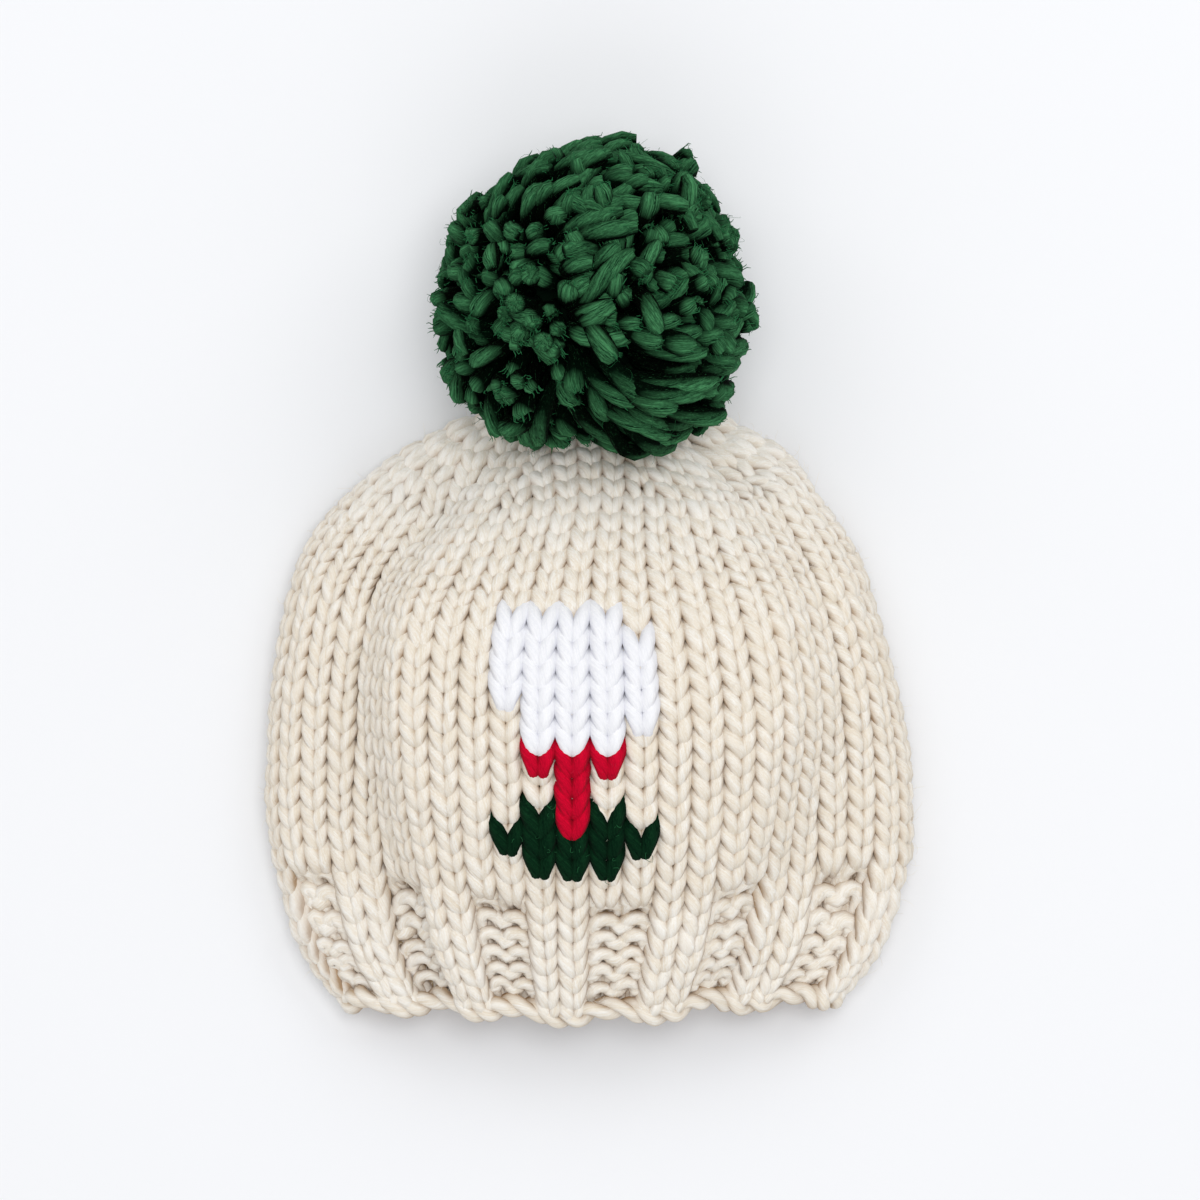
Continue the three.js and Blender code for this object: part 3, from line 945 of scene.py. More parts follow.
@dataclass
class Knitting:
    """The knitted hat: ribbing, body and crown, a yarn path for every round, and the picture on it.

    Attributes:
        surface: The outside of the hat.
        samples: Points of the path in a stitch of ribbing and body.
        crown_samples: The same in the crown.
        swing: How far the legs lean, in stitches.
        reach: How far a loop reaches up and down from its middle, in rows.
        lift: Height of that middle above the round's row.
        bulge: How far the yarn comes forward and goes back, in millimetres.
        leg_radius: The yarn's radius in the middle of a leg.
        back_radius: Its radius at the loops' ends.
        purl_fullness: How much of the leg's thickness a purled loop has all along.
        purl_thinness: Radius of a purled loop as a share.
        purl_reach: How much further a purled loop reaches.
        purl_edge: How sharply knit turns to purl between columns.
        tall_row: Height of a row above which purled loops swell, in millimetres.
        tall_swell: How much they swell.
        leg_bias: How much the left leg is plumper than the right one.
        unevenness: Spread of the loops' reach.
        swing_spread: Spread of the legs' lean.
        radius_spread: Spread of the legs' thickness.
        tint_spread: Spread of the legs' shade.
        full_stitch: Size of a stitch that takes the full radius, in millimetres.
        snug: Least and most radius in stitches of another size, as shares.
        sink: Depth of the yarn's middle below the outside.
        rib_depth: Depth of the sunk columns below the proud ones.
        crown_painted_light: How much paler the crown is painted: painted light that lifts the shade on it.
        rib_painted_light: How much paler the ribbing is painted: painted light that lifts the shade on it.
        edge_margin: Rows kept between the yarn and both ends of the surface.
    """

    surface: HatSurface
    samples: int = 20
    crown_samples: int = 16
    swing: float = 0.238
    reach: float = 1.2
    lift: float = 1.0
    bulge: float = 2.6
    leg_radius: float = 2.32
    back_radius: float = 1.15
    purl_fullness: float = 0.5
    purl_thinness: float = 0.9
    purl_reach: float = 0.05
    purl_edge: float = 3.2
    tall_row: float = 6.5
    tall_swell: float = 0.55
    leg_bias: float = 0.09
    unevenness: float = 0.065
    swing_spread: float = 0.13
    radius_spread: float = 0.065
    tint_spread: float = 0.16
    full_stitch: float = 7.2
    snug: tuple[float, float] = (0.6, 1.12)
    sink: float = 4.1
    rib_depth: float = 2.6
    crown_painted_light: float = 0.95
    rib_painted_light: float = 0.68
    edge_margin: float = 0.15
    last_round: int = 31
    seed: int = 5

    @staticmethod
    def _stitch_column(from_left: Array, wedge: Array, count: int, row: Array) -> Array:
        """Turns a place counted in stitches into a column of the surface.

        Args:
            from_left: Stitches from the wedge's left line.
            wedge: Which wedge each point is in.
            count: Stitches of the wedge in this round.
            row: The row each point lies at.

        Returns:
            Columns of the surface.
        """
        line = WEDGE_LINE + WEDGE_COLUMNS * (wedge - WEDGES // 2 + 1)
        from_right = count - from_left
        step = 1 / per_wedge(row)
        last = np.minimum((count - 1) * step, 1.0)
        beside_line = last + (from_right - count + 1) * (1 - last)
        share = np.where(from_right > count - 1, beside_line, from_right * step)
        return line - WEDGE_COLUMNS * np.minimum(share, 1.0)

    @staticmethod
    def _round_base(row: int) -> tuple[float, float]:
        """Finds where a round lies; those of the ribbing and of the crown lie closer together.

        Args:
            row: The round, counted from the edge.

        Returns:
            The surface row it stands on, and its height in rows.
        """
        if row < RIB_ROUNDS:
            pitch = RIB_ROWS / RIB_ROUNDS
            return row * pitch, pitch
        base = float(row - RIB_ROUNDS + RIB_ROWS)
        if base > CROWN_ROW:
            return CROWN_ROW + (base - CROWN_ROW) * CROWN_PITCH, CROWN_PITCH
        return base, 1.0

    def rib_sink(self, column: Array, row: Array) -> Array:
        """Says how far places lie below the proud columns of the ribbing."""
        return (1 - rib_wave(column, row)) * self.rib_depth / 2

    def round_path(self, row: int, rng: np.random.Generator) -> YarnPath:
        """Draws the yarn of one knitted round.

        Args:
            row: The round, counted from the edge.
            rng: Source of the small differences between stitches.

        Returns:
            The closed path.
        """
        base, pitch = self._round_base(row)
        count = round(float(per_wedge(base + 1.0)))
        stitches = count * WEDGES
        samples = self.crown_samples if base > CROWN_ROW else self.samples
        t = np.arange(stitches * samples) / samples
        wedge, local = np.divmod(t, count)
        phase = t + 0.5
        wobble = rng.normal(0, 1, (4, 2 * stitches))
        index = np.floor(2 * t).astype(int)
        right = np.where(index % 2 == 1, 1.0, -1.0)
        swing = self.swing * (1 - self.leg_bias * right + self.swing_spread * wobble[0, index])
        x = local + swing * np.sin(4 * np.pi * phase)
        reach = self.reach * (1 + self.unevenness * wobble[1, index // 2])
        around = t + WEDGE_LINE - COLUMNS / 2
        if row < RIB_ROUNDS - 1:
            reach = reach + self.purl_reach * (rib_pattern(around, self.purl_edge) < 0)
        y = base + pitch * (self.lift + reach * np.cos(2 * np.pi * phase))
        behind = ramp(np.abs(around), FOLD_COLUMN, FOLD_COLUMN + 2) if row < 2 else 0.0
        y = np.clip(y, self.edge_margin * (2 * behind - 1), APEX_ROW - self.edge_margin)
        column = self._stitch_column(x, wedge, count, y)
        sign = np.ones_like(t)
        if row < RIB_ROUNDS:
            blend = ramp(y, RIB_ROWS - 0.4, RIB_ROWS + 0.4) if row == RIB_ROUNDS - 1 else 0.0
            sign = rib_pattern(column, self.purl_edge) * (1 - blend) + blend
        purled = np.maximum(-sign, 0.0)
        full = purled * self.purl_fullness
        ahead = self.leg_wave(phase) * sign * (1 - full)
        plump = 0.5 + (self.plumpness(phase) - 0.5) * sign
        plump = plump + (1 - plump) * full
        radius = self.back_radius + (self.leg_radius - self.back_radius) * plump
        wide, tall = self.surface.spacing(column, np.minimum(y, APEX_ROW - 1))
        snug = np.clip(np.sqrt(wide * (WEDGE_COLUMNS / per_wedge(y)) * tall) / self.full_stitch, *self.snug)
        radius = radius * snug * (1 - (1 - self.purl_thinness) * purled)
        radius = radius * (1 - 0.5 * self.leg_bias * right + self.radius_spread * wobble[2, index])
        radius = radius * (1 + self.tall_swell * np.maximum(tall / self.tall_row - 1, 0) * purled)
        depth = (self.sink - self.bulge * ahead) * snug + self.rib_sink(column, y) + gather_depth(column, y)
        points = self.surface.inside(column, y, depth)
        points[:, 2] = np.maximum(points[:, 2], radius)
        # Painted light: the crown and the ribbing are painted paler through a tint below 0, to lift the shade
        # that falls on them.
        paler = self.crown_painted_light * ramp(y, 17, 25) + self.rib_painted_light * ramp(y, RIB_ROWS + 0.5, RIB_ROWS - 1)
        tint = 0.5 + self.tint_spread * wobble[3, index] - paler
        return YarnPath(points, radius, 0.5 + 0.5 * ahead, tint, self.surface.normal(column, y), True)

    @staticmethod
    def leg_wave(phase: Array) -> Array:
        """Says where a stitch comes forward: most in the lower half of its legs.

        Args:
            phase: Stitches along the yarn, whole where a loop has its head.

        Returns:
            Values from -1 behind to 1 in front.
        """
        share = np.abs((2 * phase) % 2 - 1)
        return -np.cos(2 * np.pi * (1 - np.abs(1 - share)) ** 0.74)

    @staticmethod
    def plumpness(phase: Array) -> Array:
        """Says where a stitch is thick, from 0 at its loops' ends to 1 in the middle of its legs."""
        return (0.5 - 0.5 * np.cos(4 * np.pi * phase)) ** 1.35

    def rounds(self, first: int, last: int) -> list[YarnPath]:
        """Draws the rounds from the first up to the last, which isn't drawn."""
        return [self.round_path(row, np.random.default_rng(self.seed + row)) for row in range(first, last)]

    def lining(self, material: bpy.types.Material) -> bpy.types.Object:
        """Builds the thin layer in the middle of the wall, which closes the gaps between yarns and is
        coloured as painted shade.

        Args:
            material: Its finish.

        Returns:
            The closed shell.
        """
        rows = np.concatenate([[0.15], np.arange(0.7, APEX_ROW - 0.4, 1.0), [APEX_ROW - 0.2]])
        columns = np.arange(COLUMNS * 2) / 2 - COLUMNS / 2
        column, row = np.meshgrid(columns, rows)
        depth = self.sink + self.rib_sink(column, row) + gather_depth(column, row)
        outer, inner = (self.surface.inside(column, row, depth + below) for below in (0.5, 1.7))
        layers = np.concatenate([inner[::-1], outer])
        around = len(columns)
        faces = []
        for low in range(0, (len(layers) - 1) * around, around):
            for j in range(around):
                k = (j + 1) % around
                faces.append((low + j, low + k, low + around + k, low + around + j))
        last = (len(layers) - 1) * around
        faces.append(tuple(range(around))[::-1])
        faces.append(tuple(last + j for j in range(around)))
        return solid_mesh("wall_lining", layers.reshape(-1, 3), faces, material)


@dataclass
class Picture:
    """The stitches sewn over the knitting, a little plumper and prouder than those they cover."""

    knitting: Knitting
    top_row: int = 18
    first_column: int = -2
    chart: tuple[str, ...] = (
        "wwww.", "wwwww", "wwwww", "wwwww", ".wwww", ".www.",
        ".rrr.", "..r..", "..r..", ".grg.", "ggggg", ".ggg.",
    )
    half_stitch: float = 0.44
    drop: float = 0.3
    stretch: float = 1.08
    fullness: float = 0.15
    lift: float = 1.6

    def paths(self, yarn: Colourway) -> list[YarnPath]:
        """Draws the stitches of one colour.

        Args:
            yarn: The letter of the chart.

        Returns:
            One open path a stitch.
        """
        knit = self.knitting
        rng = np.random.default_rng(knit.seed + ord(yarn.value))
        paths = []
        for i, j in ((i, j) for i, line in enumerate(self.chart) for j in range(len(line))):
            if self.chart[i][j] != yarn.value:
                continue
            t = np.linspace(-self.half_stitch, self.half_stitch, knit.samples + 2)
            swing = knit.swing * rng.normal(1.0, 0.05)
            x = self.first_column + j + (t + swing * np.sin(4 * np.pi * t)) * rng.normal(1.0, 0.03)
            y = self.top_row - i + knit.lift - self.drop + knit.reach * self.stretch * np.cos(2 * np.pi * t)
            ahead = knit.leg_wave(t + 1)
            plump = knit.plumpness(t) * (knit.leg_radius + self.fullness - knit.back_radius)
            radius = (knit.back_radius + plump) * rng.normal(1.0, 0.035)
            depth = knit.sink - self.lift - (knit.bulge + self.fullness) * ahead
            tint = np.full(len(t), 0.5 + 0.15 * rng.normal())
            points, out = knit.surface.inside(x, y, depth), knit.surface.normal(x, y)
            paths.append(YarnPath(points, radius, 0.5 + 0.5 * ahead, tint, out))
        return paths


@dataclass
class CastOnRope:
    """The corded edge: two strands twisted round each other, a turn every two stitches.

    The scallop lets it dip under the sunk columns, the drop hangs it below the front edge, and the
    tuck draws it up along the back.
    """

    surface: HatSurface
    strand_radius: float = 2.05
    helix_radius: float = 1.55
    scallop: float = 1.3
    drop: float = 1.3
    tuck: float = 1.8
    depth: float = WALL / 2 + 0.63
    proud: float = 0.5
    slack: float = 0.25
    unevenness: float = 0.06
    samples: int = 12

    def paths(self) -> list[YarnPath]:
        """Draws the two strands.

        Returns:
            Two closed paths.
        """
        column = np.arange(COLUMNS * self.samples) / self.samples - COLUMNS / 2
        wave = rib_wave(column, 0.0)
        down = unit(self.surface.inside(column, 0.0, 0.0) - self.surface.inside(column, 0.4, 0.0))
        out = self.surface.normal(column, np.full_like(column, 0.2))
        behind = ramp(np.abs(column), FOLD_COLUMN, FOLD_COLUMN + 2)
        hang = (self.scallop * wave + self.drop) * (1 - behind) - self.tuck * behind
        centre = self.surface.inside(column, 0.0, self.depth) + down * hang[:, None]
        centre = centre + out * (self.proud * (wave + 1))[:, None]
        rng = np.random.default_rng(31)
        half = COLUMNS // 2
        paths = []
        for strand in range(2):
            turn = np.pi * (column + strand) + self.slack * np.sin(column * 1.7 + strand)
            offset = out * np.cos(turn)[:, None] + down * np.sin(turn)[:, None]
            points = centre + offset * self.helix_radius
            bumps = np.interp(column, np.arange(-half, half + 1), rng.normal(0, 1, COLUMNS + 1))
            radius = self.strand_radius * (1 + self.unevenness * bumps)
            points[:, 2] = np.maximum(points[:, 2], radius)
            shade = np.full(len(turn), 0.5)
            # front falls where a strand turns behind the other, and the finish paints shade there.
            paths.append(YarnPath(points, radius, 0.6 + 0.4 * np.cos(turn), shade, out, True))
        return paths


@dataclass
class Pompom:
    """The yarn pompom: several hundred blunt locks combed away from a parting, over a dark core.

    Attributes:
        surface: The outside of the hat.
        centre: The pompom's middle.
        radius: Its reach straight up.
        core_radius: Radius of the core.
        core_rings: Rings of the core, half as many as its sides.
        locks: Locks before thinning.
        thinning: Share of the combed locks that is left out.
        lock_radius: Radius of a lock, which its shape scales from foot to tip.
        tufts: Fibres that fray from a lock.
        tuft_radius: Radius of such a fibre.
        parting: Where the locks part, and how gently.
        flow: Which way they are combed.
        upper_flow: Which way the highest ones on the page turn.
        combing: Least and further lean.
        flow_share: Lean along the flow.
        upper_share: Lean along the upper flow.
        unruliness: Spread of the leans.
    """

    surface: HatSurface
    centre: Triple = (0.5, 81.7, 43.0)
    radius: float = 42.0
    core_radius: float = 31.0
    core_rings: int = 14
    locks: int = 980
    thinning: float = 0.2
    lock_radius: float = 2.5
    lock_shape: tuple[float, ...] = (0.5, 0.62, 0.76, 0.9, 1.02, 1.1, 1.15, 1.1, 0.76)
    tufts: int = 10
    tuft_radius: float = 0.16
    parting: Triple = (-0.22, -0.4, 0.88)
    parting_softness: float = 0.35
    flow: Triple = (0.68, -0.73, 0.0)
    upper_flow: Triple = (0.62, 0.55, 0.3)
    combing: tuple[float, float] = (0.12, 0.72)
    flow_share: float = 0.35
    upper_share: float = 0.45
    unruliness: float = 0.15
    seed: int = 12

    def _directions(self, rng: np.random.Generator) -> Array:
        """Spreads the locks' roots nearly evenly over a ball.

        Args:
            rng: Source of the small shifts.

        Returns:
            Directions of length one.
        """
        index = np.arange(self.locks) + 0.5
        z = 1 - 2 * index / self.locks
        turn = np.pi * (3 - math.sqrt(5)) * index
        across = np.sqrt(1 - z * z)
        even = np.column_stack([across * np.cos(turn), across * np.sin(turn), z])
        return unit(even + rng.normal(0, 0.035, even.shape))

    def _combed(self, root: Array, rng: np.random.Generator) -> tuple[Array, Array]:
        """Says which way and how far each lock leans along the ball.

        Args:
            root: Directions of the roots.
            rng: Source of the unruly part.

        Returns:
            A lean for each root, and how strongly each is combed, from 0 to 1.
        """
        away = sideways(root - np.array(self.parting), root)
        away = away / (np.linalg.norm(away, axis=1, keepdims=True) + self.parting_softness)
        flow = sideways(np.array(self.flow), root)
        upward = sideways(np.array(self.upper_flow), root)
        with_flow = np.sum(unit(away) * unit(flow), axis=1)
        strength = ramp(with_flow, -0.1, 0.9) * ramp(root[:, 2], -0.5, 0.2)
        least, further = self.combing
        weight = (least + further * strength)[:, None]
        high = ramp(root[:, 1], 0.1, 0.8)[:, None]
        lean = (away + self.flow_share * flow) * weight + self.upper_share * high * upward
        return lean + rng.normal(0, self.unruliness, root.shape), strength

    def _outline_reach(self, tip: Array) -> Array:
        """Says how far locks reach, so that the ball has its slightly uneven outline.

        Args:
            tip: Directions in which the locks end.

        Returns:
            A reach in millimetres for each lock.
        """
        angle = np.degrees(np.arctan2(tip[:, 1], tip[:, 0])) % 360
        angles = [point.angle for point in POMPOM_OUTLINE]
        reaches = [point.reach for point in POMPOM_OUTLINE]
        level = np.interp(angle, angles, reaches, period=360)
        share = 1 - np.clip(tip[:, 2], -1, 1) ** 2
        return self.radius + (level - self.radius) * share

    def _lock_points(self, rng: np.random.Generator) -> tuple[Array, Array]:
        """Draws every lock's centre line.

        Args:
            rng: Source of the differences between locks.

        Returns:
            Points and radii, one line a lock.
        """
        root = self._directions(rng)
        lean, strength = self._combed(root, rng)
        kept = rng.random(self.locks) > self.thinning * strength
        root, lean, strength = root[kept], lean[kept], strength[kept, None]
        count = len(root)
        steps = np.linspace(0, 1, len(self.lock_shape))
        bend = steps**1.35
        way = unit(root[:, None] + lean[:, None] * bend[None, :, None])
        uneven = np.clip(rng.normal(-0.01, 0.055, count), -0.16, 0.055)
        reach = self._outline_reach(way[:, -1]) * (1 + uneven)
        foot = 0.62 + 0.15 * strength
        rise = foot + (1 - foot) * (1 - (1 - steps) ** 2)
        sway = np.sin(steps * np.pi * 1.5)[None, :, None] * rng.normal(0, 0.03, (count, 1, 3))
        points = (way + sway) * (rise * reach[:, None])[..., None] + np.array(self.centre)
        radius = self.lock_radius * np.array(self.lock_shape)[None, :] * rng.normal(1, 0.1, (count, 1))
        return points, np.maximum(radius, 0.8)

    def _above_crown(self, points: Array, clear: Array) -> Array:
        """Lifts what would lie inside the crown onto it.

        Args:
            points: Places in millimetres.
            clear: Height to keep above the crown.

        Returns:
            The lifted places.
        """
        columns, rows = np.meshgrid(np.arange(-12, 12.5, 0.5), np.arange(19, APEX_ROW, 0.4))
        crown = self.surface.inside(columns.ravel(), rows.ravel(), 0.0)
        lifted = points.copy()
        for i in np.flatnonzero(points[:, 1] < crown[:, 1].max() + 1):
            level = np.linalg.norm(crown[:, :2] - points[i, :2], axis=1)
            closest = int(np.argmin(level))
            if level[closest] < 4:
                lifted[i, 2] = max(points[i, 2], crown[closest, 2] + clear[i] * 0.8)
        return lifted

    def paths(self) -> list[YarnPath]:
        """Draws the locks.

        Returns:
            One open path a lock.
        """
        rng = np.random.default_rng(self.seed)
        points, radius = self._lock_points(rng)
        count, steps = radius.shape
        lifted = self._above_crown(points.reshape(-1, 3), radius.reshape(-1)).reshape(points.shape)
        lifted[..., 2] = np.maximum(lifted[..., 2], radius * 0.9)
        tint = 0.5 + 0.2 * rng.normal(0, 1, count)
        # Painted shade: front falls from the tip to below 0 at the root, so the finish darkens each lock
        # towards its root, where the locks crowd.
        front = -0.9 + 1.5 * (1 - (1 - np.linspace(0, 1, steps)) ** 1.9)
        outward = unit(lifted - np.array(self.centre))
        shade = np.repeat(tint[:, None], steps, axis=1)
        return [YarnPath(lifted[i], radius[i], front, shade[i], outward[i]) for i in range(count)]

    def tuft_paths(self, locks: Sequence[YarnPath]) -> list[YarnPath]:
        """Draws the fine fibres that fray from the end of every lock that shows.

        Args:
            locks: The locks' paths.

        Returns:
            One path a fibre.
        """
        rng = np.random.default_rng(self.seed + 1)
        thick = np.array([1.3, 1.0, 0.4]) * self.tuft_radius
        one = np.ones(len(thick))
        paths = []
        for lock in locks:
            if lock.points[-1, 2] < 16:
                continue
            way = unit(lock.points[-1] - lock.points[-3])
            for _ in range(self.tufts):
                off = unit(sideways(rng.normal(0, 1, 3), way))
                start = lock.points[-2] + off * lock.thick[-2] * rng.uniform(0.3, 1.0)
                middle = start + way * rng.uniform(1.2, 2.2) + off * rng.uniform(-0.4, 0.6)
                end = middle + way * rng.uniform(-0.1, 0.9) + off * rng.uniform(-1.1, 1.3)
                points = np.stack([start, middle, end])
                tint = one * rng.uniform(0.2, 0.8)
                paths.append(YarnPath(points, thick, one, tint, np.tile(off, (len(thick), 1))))
        return paths

    def core(self, material: bpy.types.Material) -> bpy.types.Object:
        """Builds the dark ball behind the locks.

        Args:
            material: Its finish.

        Returns:
            The ball.
        """
        rings, around = self.core_rings, 2 * self.core_rings
        vertices = [(0.0, 0.0, -1.0)]
        for i in range(1, rings):
            tilt = math.pi * i / rings - math.pi / 2
            across, high = math.cos(tilt), math.sin(tilt)
            for j in range(around):
                turn = 2 * math.pi * j / around
                vertices.append((across * math.cos(turn), across * math.sin(turn), high))
        vertices.append((0.0, 0.0, 1.0))
        top = len(vertices) - 1
        faces: list[tuple[int, ...]] = []
        for j in range(around):
            k = (j + 1) % around
            faces.append((0, 1 + k, 1 + j))
            faces.append((top, top - around + j, top - around + k))
            for low in range(1, 1 + (rings - 2) * around, around):
                faces.append((low + j, low + k, low + around + k, low + around + j))
        places = np.array(vertices) * self.core_radius + np.array(self.centre)
        return solid_mesh("pompom_core", places, faces, material)

    def tie(self, turns: int = 4, coil_radius: float = 4.0, count: int = 80) -> list[YarnPath]:
        """Draws the yarn wound round the neck between crown and pompom.

        Args:
            turns: Turns of the yarn.
            coil_radius: Radius of the turns in millimetres.
            count: Points of the path.

        Returns:
            One coil.
        """
        apex = self.surface.inside(np.array([0.0]), np.array([APEX_ROW]), 0.0)[0]
        way = unit(np.array(self.centre) - apex)
        side = unit(np.cross(way, [0.0, 0.0, 1.0]))
        up = np.cross(side, way)
        turn = np.linspace(0, 2 * np.pi * turns, count)[:, None]
        out = side * np.cos(turn) + up * np.sin(turn)
        points = apex + way * np.linspace(-1.0, 8.0, count)[:, None] + coil_radius * out
        return [YarnPath(points, np.full(count, 1.5), np.full(count, 0.6), np.full(count, 0.5), out)]


@dataclass
class StrayFibres:
    """Fine fibres that stand off the yarns.

    Attributes:
        length: Shortest and longest fibre in millimetres.
        lift: How much the fibres stand up.
        curl: How much each step turns away.
        shake: How much the steps differ.
        thickness: Radius of a fibre in millimetres.
        steps: Steps of a fibre.
        floor: Least height of a fibre's middle above the floor.
    """

    length: tuple[float, float]
    lift: float = 0.3
    curl: float = 0.6
    shake: float = 0.12
    thickness: float = 0.06
    steps: int = 5
    floor: float = 0.2

    def grown(self, starts: Array, outward: Array, rng: np.random.Generator) -> list[YarnPath]:
        """Grows a curled fibre from each start.

        Args:
            starts: Places in millimetres.
            outward: Directions away from the surface.
            rng: Source of their ways.

        Returns:
            One path a fibre.
        """
        count = len(starts)
        heading = sideways(rng.normal(0, 1, (count, 3)), outward)
        heading = unit(unit(heading) + outward * self.lift * rng.uniform(0.2, 1.6, (count, 1)))
        spin = rng.normal(0, self.curl, (count, 3))
        step = rng.uniform(*self.length, (count, 1)) / self.steps
        places = [starts]
        for _ in range(self.steps):
            heading = unit(heading + np.cross(heading, spin) + rng.normal(0, self.shake, (count, 3)))
            places.append(places[-1] + heading * step)
        lines = np.stack(places, axis=1)
        lines[..., 2] = np.maximum(lines[..., 2], self.floor)
        taper = np.linspace(1.0, 0.5, self.steps + 1) * self.thickness
        one = np.ones(self.steps + 1)
        ahead = np.repeat(outward[:, None], self.steps + 1, axis=1)
        return [YarnPath(line, taper, one, one * 0.5, out) for line, out in zip(lines, ahead)]

    def on_knitting(self, knitting: Knitting, count: int) -> list[YarnPath]:
        """Grows fuzz on the hat's front, clear of the picture.

        Args:
            knitting: The hat.
            count: Fibres before those over the picture are left out.

        Returns:
            One path a fibre.
        """
        rng = np.random.default_rng(71)
        column = rng.uniform(-FOLD_COLUMN - 1.5, FOLD_COLUMN + 1.5, count)
        row = rng.uniform(0.2, APEX_ROW - 2.5, count)
        plain = (np.abs(column) > 3.4) | (row < 6.0) | (row > 20.0)
        column, row = column[plain], row[plain]
        starts = knitting.surface.inside(column, row, 0.7 + knitting.rib_sink(column, row))
        return self.grown(starts, knitting.surface.normal(column, row), rng)

    def on_yarns(self, paths: Sequence[YarnPath], count: int) -> list[YarnPath]:
        """Grows fuzz from the outer side of yarns.

        Args:
            paths: The yarns.
            count: How many fibres.

        Returns:
            One path a fibre.
        """
        rng = np.random.default_rng(72)
        chosen = [paths[i] for i in rng.integers(0, len(paths), count)]
        share = rng.uniform(0.35, 1.0, count)
        places = [round(float(s) * (len(path.thick) - 1)) for path, s in zip(chosen, share)]
        middle = np.array([path.points[k] for path, k in zip(chosen, places)])
        thick = np.array([path.thick[k] for path, k in zip(chosen, places)])
        out = np.array([path.out[k] for path, k in zip(chosen, places)])
        outward = unit(out + rng.normal(0, 0.35, (count, 3)))
        return self.grown(middle + outward * thick[:, None] * 0.85, outward, rng)


@dataclass(frozen=True)
class Lamp:
    """A soft square lamp that faces the hat: its place and side in metres, and its watts."""

    name: str
    place: Triple
    size: float
    power: float

    def hang(self) -> None:
        """Puts the lamp into the scene."""
        light = bpy.data.lights.new(self.name, "AREA")
        light.size = self.size
        light.energy = self.power
        made = linked(self.name, light)
        made.location = self.place
        made.rotation_euler = Vector(self.place).to_track_quat("Z", "Y").to_euler()


@dataclass
class Studio:
    """The floor, the light and the camera straight above, in metres."""

    floor_half: float = 6.0
    floor_shade: Colour = (0.86, 0.87, 0.89, 1.0)
    sky_shade: Colour = (0.98, 0.98, 0.99, 1.0)
    sky_strength: float = 0.52
    camera_place: Triple = (0.00305, -0.0046, 1.6)
    lens: float = 165.5
    lamps: tuple[Lamp, ...] = (
        Lamp("key", (0.15, 0.25, 2.1), 1.0, 15.5),
        Lamp("fill_left", (-1.0, 1.0, 1.2), 1.2, 5.0),
        Lamp("fill_right", (1.0, 1.0, 1.2), 1.2, 6.0),
        Lamp("fill_low", (0.0, -1.1, 1.2), 1.2, 3.8),
    )

    def _floor(self) -> None:
        """Lays the pale matt floor."""
        half = self.floor_half
        corners = [(-half, -half, 0.0), (half, -half, 0.0), (half, half, 0.0), (-half, half, 0.0)]
        mesh = bpy.data.meshes.new("floor")
        mesh.from_pydata(corners, [], [(0, 1, 2, 3)])
        constants = {"Base Color": self.floor_shade, "Roughness": 0.9, "Specular IOR Level": 0.1}
        mesh.materials.append(new_finish("floor", constants)[0])
        made = linked("floor", mesh)

    def build(self) -> None:
        """Sets up floor, lamps, surroundings and camera."""
        self._floor()
        for lamp in self.lamps:
            lamp.hang()
        world = bpy.data.worlds.new("studio")
        world.use_nodes = True
        background = next(n for n in world.node_tree.nodes if n.type == "BACKGROUND")
        background.inputs["Color"].default_value = self.sky_shade
        background.inputs["Strength"].default_value = self.sky_strength
        bpy.context.scene.world = world
        bpy.context.scene.view_settings.view_transform = "Standard"
        camera = bpy.data.cameras.new("camera")
        camera.sensor_width = 36.0
        camera.lens = self.lens
        made = linked("camera", camera)
        made.location = self.camera_place
        bpy.context.scene.camera = made


CREAM = WoolFinish(
    "cream_wool", light=colour(251, 250, 246), dark=colour(229, 217, 197), painted_shade=colour(154, 117, 72)
)
WHITE = WoolFinish(
    "white_wool", light=colour(254, 254, 255), dark=colour(236, 237, 242), painted_shade=colour(212, 213, 222)
)
RED = WoolFinish(
    "red_wool",
    light=colour(234, 9, 53),
    dark=colour(166, 2, 34),
    painted_shade=colour(80, 0, 10),
    sheen=0.02,
    speckle=0.3,
    gloss=0.06,
)
GREEN = WoolFinish(
    "green_wool",
    light=colour(19, 60, 34),
    dark=colour(0, 20, 10),
    painted_shade=colour(0, 6, 2),
    sheen=0.01,
    speckle=0.35,
    gloss=0.04,
)
POMPOM_GREEN = WoolFinish(
    "pompom_wool",
    light=colour(86, 160, 106),
    dark=colour(0, 28, 13),
    painted_shade=colour(0, 2, 0),
    streaks=6.0,
    streak_length=9.0,
    relief=0.7,
    sheen=0.0,
    speckle=0.5,
    side_shade=1.0,
    side_gain=1.55,
    sunk_shade=1.3,
    gloss=0.03,
)
# Painted shade: the tan of the shade seen between the yarns, for the wall's lining.
PAINTED_GAP_SHADE = PlainFinish("painted_gap_shade", colour(196, 172, 138))
POMPOM_SHADOW = PlainFinish("pompom_shadow", colour(3, 26, 12))
CREAM_FIBRE = PlainFinish("cream_fibre", colour(250, 244, 232), sheen=0.3)
GREEN_FIBRE = PlainFinish("green_fibre", colour(44, 110, 68))
RED_FIBRE = PlainFinish("red_fibre", colour(206, 30, 62))


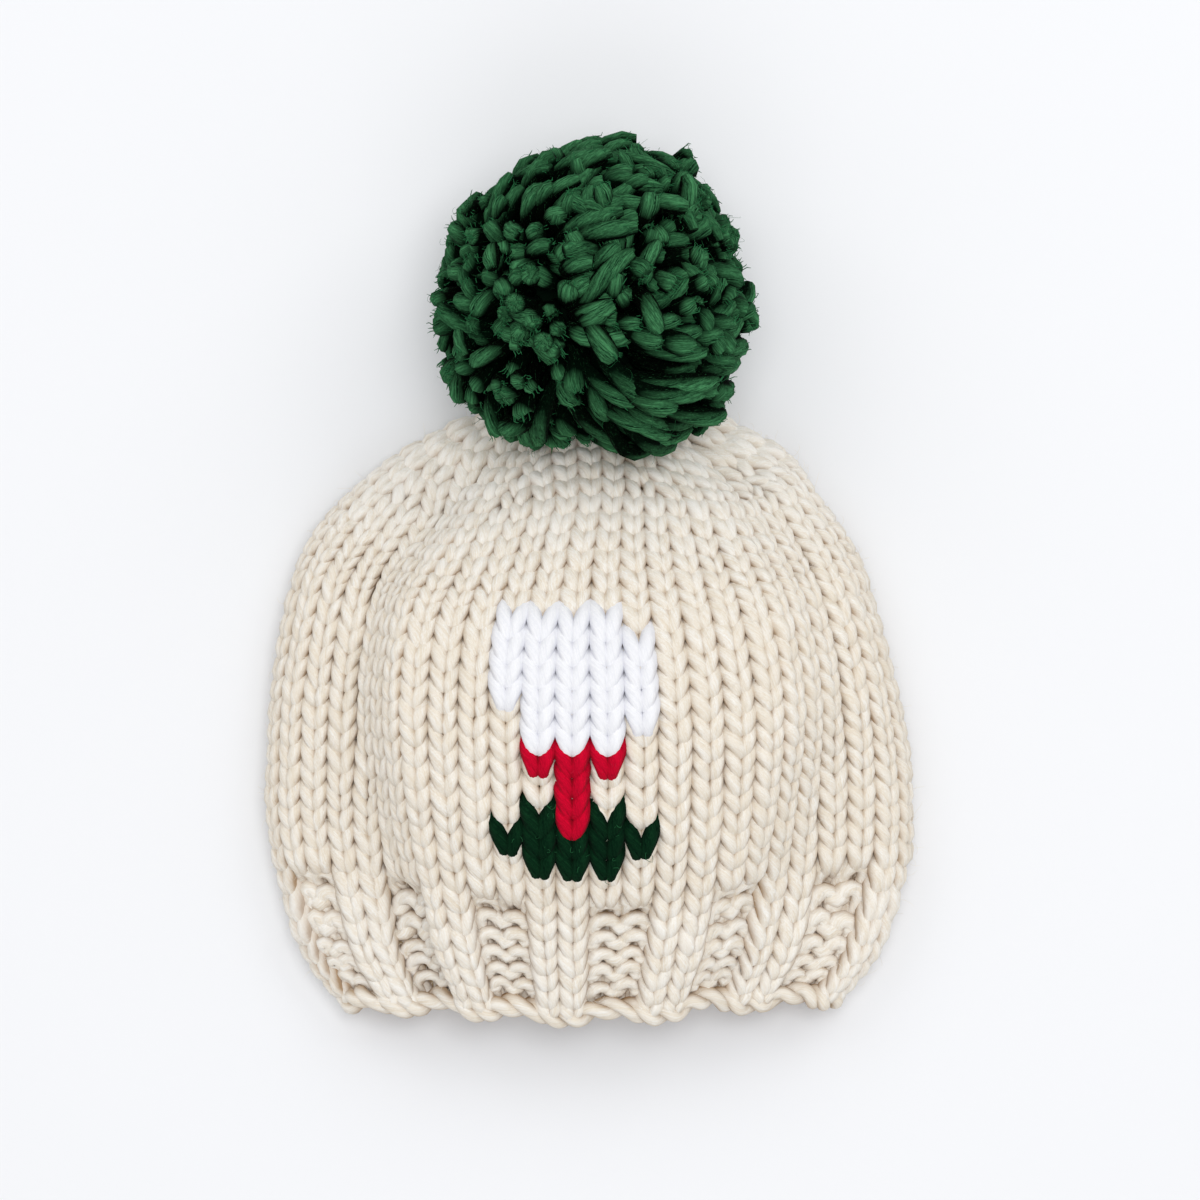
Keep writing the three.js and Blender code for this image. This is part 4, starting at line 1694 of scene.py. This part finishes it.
def main() -> None:
    """Builds the looks piece by piece and finishes the frame."""
    logging.basicConfig(level=logging.INFO, format="%(name)s %(message)s")
    surface = HatSurface()
    sweep = YarnSweeper().sweep
    cream, white, red, green = CREAM.make(), WHITE.make(), RED.make(), GREEN.make()
    knitting = Knitting(surface)
    sweep("ribbing_yarn", knitting.rounds(-1, RIB_ROUNDS), cream, "cream_rib", "ribbed_brim")
    sweep("lower_body_yarn", knitting.rounds(RIB_ROUNDS, 13), cream, "cream_knit", "knit_body")
    sweep("upper_body_yarn", knitting.rounds(13, 20), cream, "cream_knit")
    sweep("crown_yarn", knitting.rounds(20, knitting.last_round + 1), cream, "cream_knit")
    placed(knitting.lining(PAINTED_GAP_SHADE.make()), "cream_knit")
    picture = Picture(knitting)
    tee, grass = picture.paths(Colourway.RED), picture.paths(Colourway.GREEN)
    sweep("ball_yarn", picture.paths(Colourway.WHITE), white, "white_yarn", "ball_stitches")
    sweep("tee_yarn", tee, red, "red_yarn", "tee_stitches")
    sweep("grass_yarn", grass, green, "green_yarn", "grass_stitches")
    sweep("cast_on_rope", CastOnRope(surface).paths(), cream, "cream_edge", "cast_on_edge")

    pompom = Pompom(surface)
    wool = POMPOM_GREEN.make()
    locks = pompom.paths()
    sweep("pompom_locks", locks, wool, "pompom_yarn", "pompom", sides=8, turns_per_metre=18.0)
    placed(pompom.core(POMPOM_SHADOW.make()), "pompom_yarn")
    sweep("tie_yarn_coil", pompom.tie(), wool, "tie_yarn", "pompom_tie", sides=8)

    cream_fibre, green_fibre, red_fibre = CREAM_FIBRE.make(), GREEN_FIBRE.make(), RED_FIBRE.make()
    fuzz = StrayFibres((2.5, 6.5), lift=0.5, curl=0.45).on_knitting(knitting, 2600)
    sweep("knit_fuzz", fuzz, cream_fibre, "cream_knit", sides=3)
    fuzz = StrayFibres((7.0 / 3, 7.0)).on_yarns(locks, 1100)
    sweep("pompom_fuzz", fuzz, green_fibre, "pompom_yarn", sides=3)
    fuzz = StrayFibres((5.0 / 3, 5.0), thickness=0.1).on_yarns(grass, 150)
    sweep("grass_fuzz", fuzz, green_fibre, "green_yarn", sides=3)
    fuzz = StrayFibres((1.0, 3.0), thickness=0.1).on_yarns(tee, 90)
    sweep("tee_fuzz", fuzz, red_fibre, "red_yarn", sides=3)
    sweep("pompom_tufts", pompom.tuft_paths(locks), green_fibre, "pompom_yarn", sides=3)

    Studio().build()


if __name__ == "__main__":
    main()
